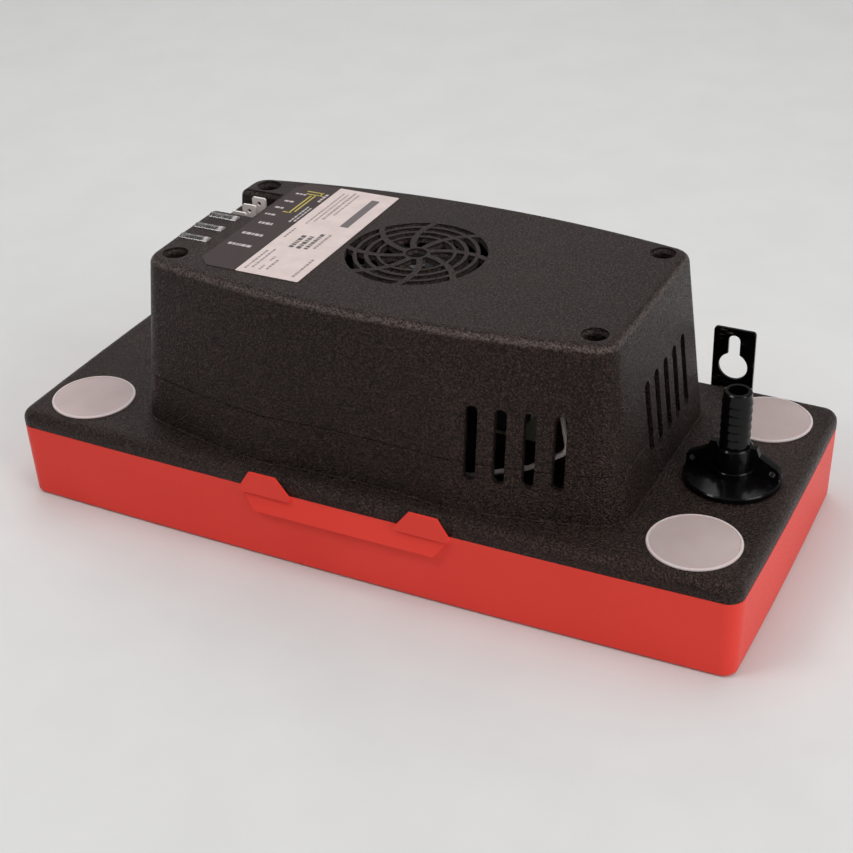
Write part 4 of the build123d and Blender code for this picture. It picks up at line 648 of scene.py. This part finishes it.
class PUMP_OT_check_spring(bpy.types.Operator):
    """Round wire spring of the check valve, which moves with the ball; the real spring shortens as the ball lifts"""

    bl_idname = "pump.check_spring"
    bl_label = "Check valve spring"

    def execute(self, context):
        spring = context.scene.pump_spring
        low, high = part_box("valve_spring")
        middle, length = (low.x + high.x) / 2, high.z - low.z
        wire = spring.wire / 2
        mean = (high.x - low.x) / 2 - wire
        # A circle of the wire's radius (v) is carried along a helix (t): reach and level both swing about the mean.
        steps, sides = spring.turns * 24, 10
        t = np.linspace(0, 1, steps + 1)[:, None]
        v = np.linspace(0, 2 * math.pi, sides, endpoint=False)[None]
        turn = 2 * math.pi * spring.turns * t
        reach = mean + wire * np.cos(v)
        points = np.stack([middle + reach * np.cos(turn), reach * np.sin(turn),
                           low.z + wire + (length - 2 * wire) * t + wire * np.sin(v)], axis=-1)
        # The grid's last row of faces would join the two ends, so it gives way to a cap of quads on each.
        tube = closed_grid(points)[:-sides, ::-1]
        cap = np.array([(i, sides - 1 - i, sides - 2 - i, i + 1) for i in range(sides // 2 - 1)])
        faces = np.concatenate([tube, cap[:, ::-1], cap + sides * steps])
        piece = new_piece("check_spring_wire", points, faces, finish_named("drawn_stainless_steel"))
        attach(piece, "ball")
        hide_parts("valve_spring")
        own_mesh(piece)
        return {"FINISHED"}


class PUMP_OT_stage(bpy.types.Operator):
    """Pale floor, soft studio lights and the photograph's camera"""

    bl_idname = "pump.stage"
    bl_label = "Stage"

    def execute(self, context):
        stage = context.scene.pump_stage
        # A square grid of u and v, just under the tank's underside.
        cells, half = 8, stage.floor_size / 2
        level = -0.2 * MM
        edge = np.linspace(-half, half, cells + 1)
        u, v = np.meshgrid(edge, edge, indexing="ij")
        points = np.stack([u, v, np.full_like(u, level)], axis=-1)
        index = np.arange((cells + 1) ** 2).reshape(cells + 1, cells + 1)
        faces = np.stack([index[:-1, :-1], index[1:, :-1], index[1:, 1:], index[:-1, 1:]], axis=-1).reshape(-1, 4)
        # Painted board: matt, pale and even, with clouds about 40 mm wide that hardly show.
        paint = speckled("painted_floor_pale", ("#D6D6D5", "#D9D9D8"), (0.75, 0.85), 40.0, 0.01)
        new_piece("studio_floor", points, faces, paint)

        # Each light: name, power, place, what it is aimed at, side of its square.
        lights = (("key_light", stage.key_power, (1.15, -0.35, 0.75), (0, 0, 0.05), 0.9),
                  ("top_light", stage.top_power, (-0.05, 0.35, 1.25), (0, 0, 0.05), 1.2),
                  ("fill_light", stage.fill_power, (-0.55, -0.6, 1.1), (0, 0, 0.04), 0.45),
                  ("back_light", stage.back_power, (-1.0, 1.2, 1.0), (0, 0, 0.04), 1.0))
        for name, power, place, target, size in lights:
            data = bpy.data.lights.new(name, "AREA")
            data.energy = power
            data.shape = "SQUARE"
            data.size = size
            lamp = bpy.data.objects.new(name, data)
            context.scene.collection.objects.link(lamp)
            away = np.array(place) - np.array(target)
            away = away / np.linalg.norm(away)
            side = np.cross((0, 0, 1), away)
            side = side / np.linalg.norm(side)
            lamp.matrix_world = placed(side, np.cross(away, side), away, place)
        world = context.scene.world or bpy.data.worlds.new("studio")
        context.scene.world = world
        world.use_nodes = True
        room = world.node_tree.nodes["Background"].inputs
        room["Color"].default_value = linear("#E6E6E6")
        room["Strength"].default_value = stage.room_strength

        # The camera looks back from its azimuth and elevation, and is then rolled about that line.
        azimuth, elevation, roll = stage.camera_angles
        back = np.array([math.sin(azimuth) * math.cos(elevation), -math.cos(azimuth) * math.cos(elevation),
                         math.sin(elevation)])
        flat = np.array([math.cos(azimuth), math.sin(azimuth), 0.0])
        rise = np.cross(back, flat)
        right = math.cos(roll) * flat + math.sin(roll) * rise
        up = -math.sin(roll) * flat + math.cos(roll) * rise
        context.scene.view_settings.view_transform = "Standard"
        data = bpy.data.cameras.new("photo_camera")
        data.lens = stage.focal_pixels / PHOTO_PIXELS * data.sensor_width
        data.clip_start = 0.01
        camera = bpy.data.objects.new("photo_camera", data)
        context.scene.collection.objects.link(camera)
        camera.matrix_world = placed(right, up, back, stage.camera_place)
        context.scene.camera = camera
        return {"FINISHED"}


OPERATORS = (PUMP_OT_finishes, PUMP_OT_rating_print, PUMP_OT_switch_print, PUMP_OT_coil_wire, PUMP_OT_check_spring,
             PUMP_OT_stage)
GROUPS = {"pump_finish": PumpFinish, "pump_printing": PumpPrinting, "pump_coil": PumpCoil,
          "pump_spring": PumpSpring, "pump_stage": PumpStage}


class PUMP_PT_panel(bpy.types.Panel):
    """Lists the pump's operators and settings"""

    bl_idname = "PUMP_PT_panel"
    bl_label = "Condensate pump"
    bl_space_type = "VIEW_3D"
    bl_region_type = "UI"
    bl_category = "Pump"

    def draw(self, context):
        for operator in OPERATORS:
            self.layout.operator(operator.bl_idname)
        for name, group in GROUPS.items():
            box = self.layout.box()
            for key in group.__annotations__:
                box.prop(getattr(context.scene, name), key)


def register():
    for item in (*GROUPS.values(), *OPERATORS, PUMP_PT_panel):
        bpy.utils.register_class(item)
    for name, group in GROUPS.items():
        setattr(bpy.types.Scene, name, PointerProperty(type=group))


def unregister():
    for name in GROUPS:
        delattr(bpy.types.Scene, name)
    for item in reversed((*GROUPS.values(), *OPERATORS, PUMP_PT_panel)):
        bpy.utils.unregister_class(item)


def main():
    register()
    for operator in OPERATORS:
        group, name = operator.bl_idname.split(".")
        getattr(getattr(bpy.ops, group), name)()


if __name__ == "__main__":
    main()
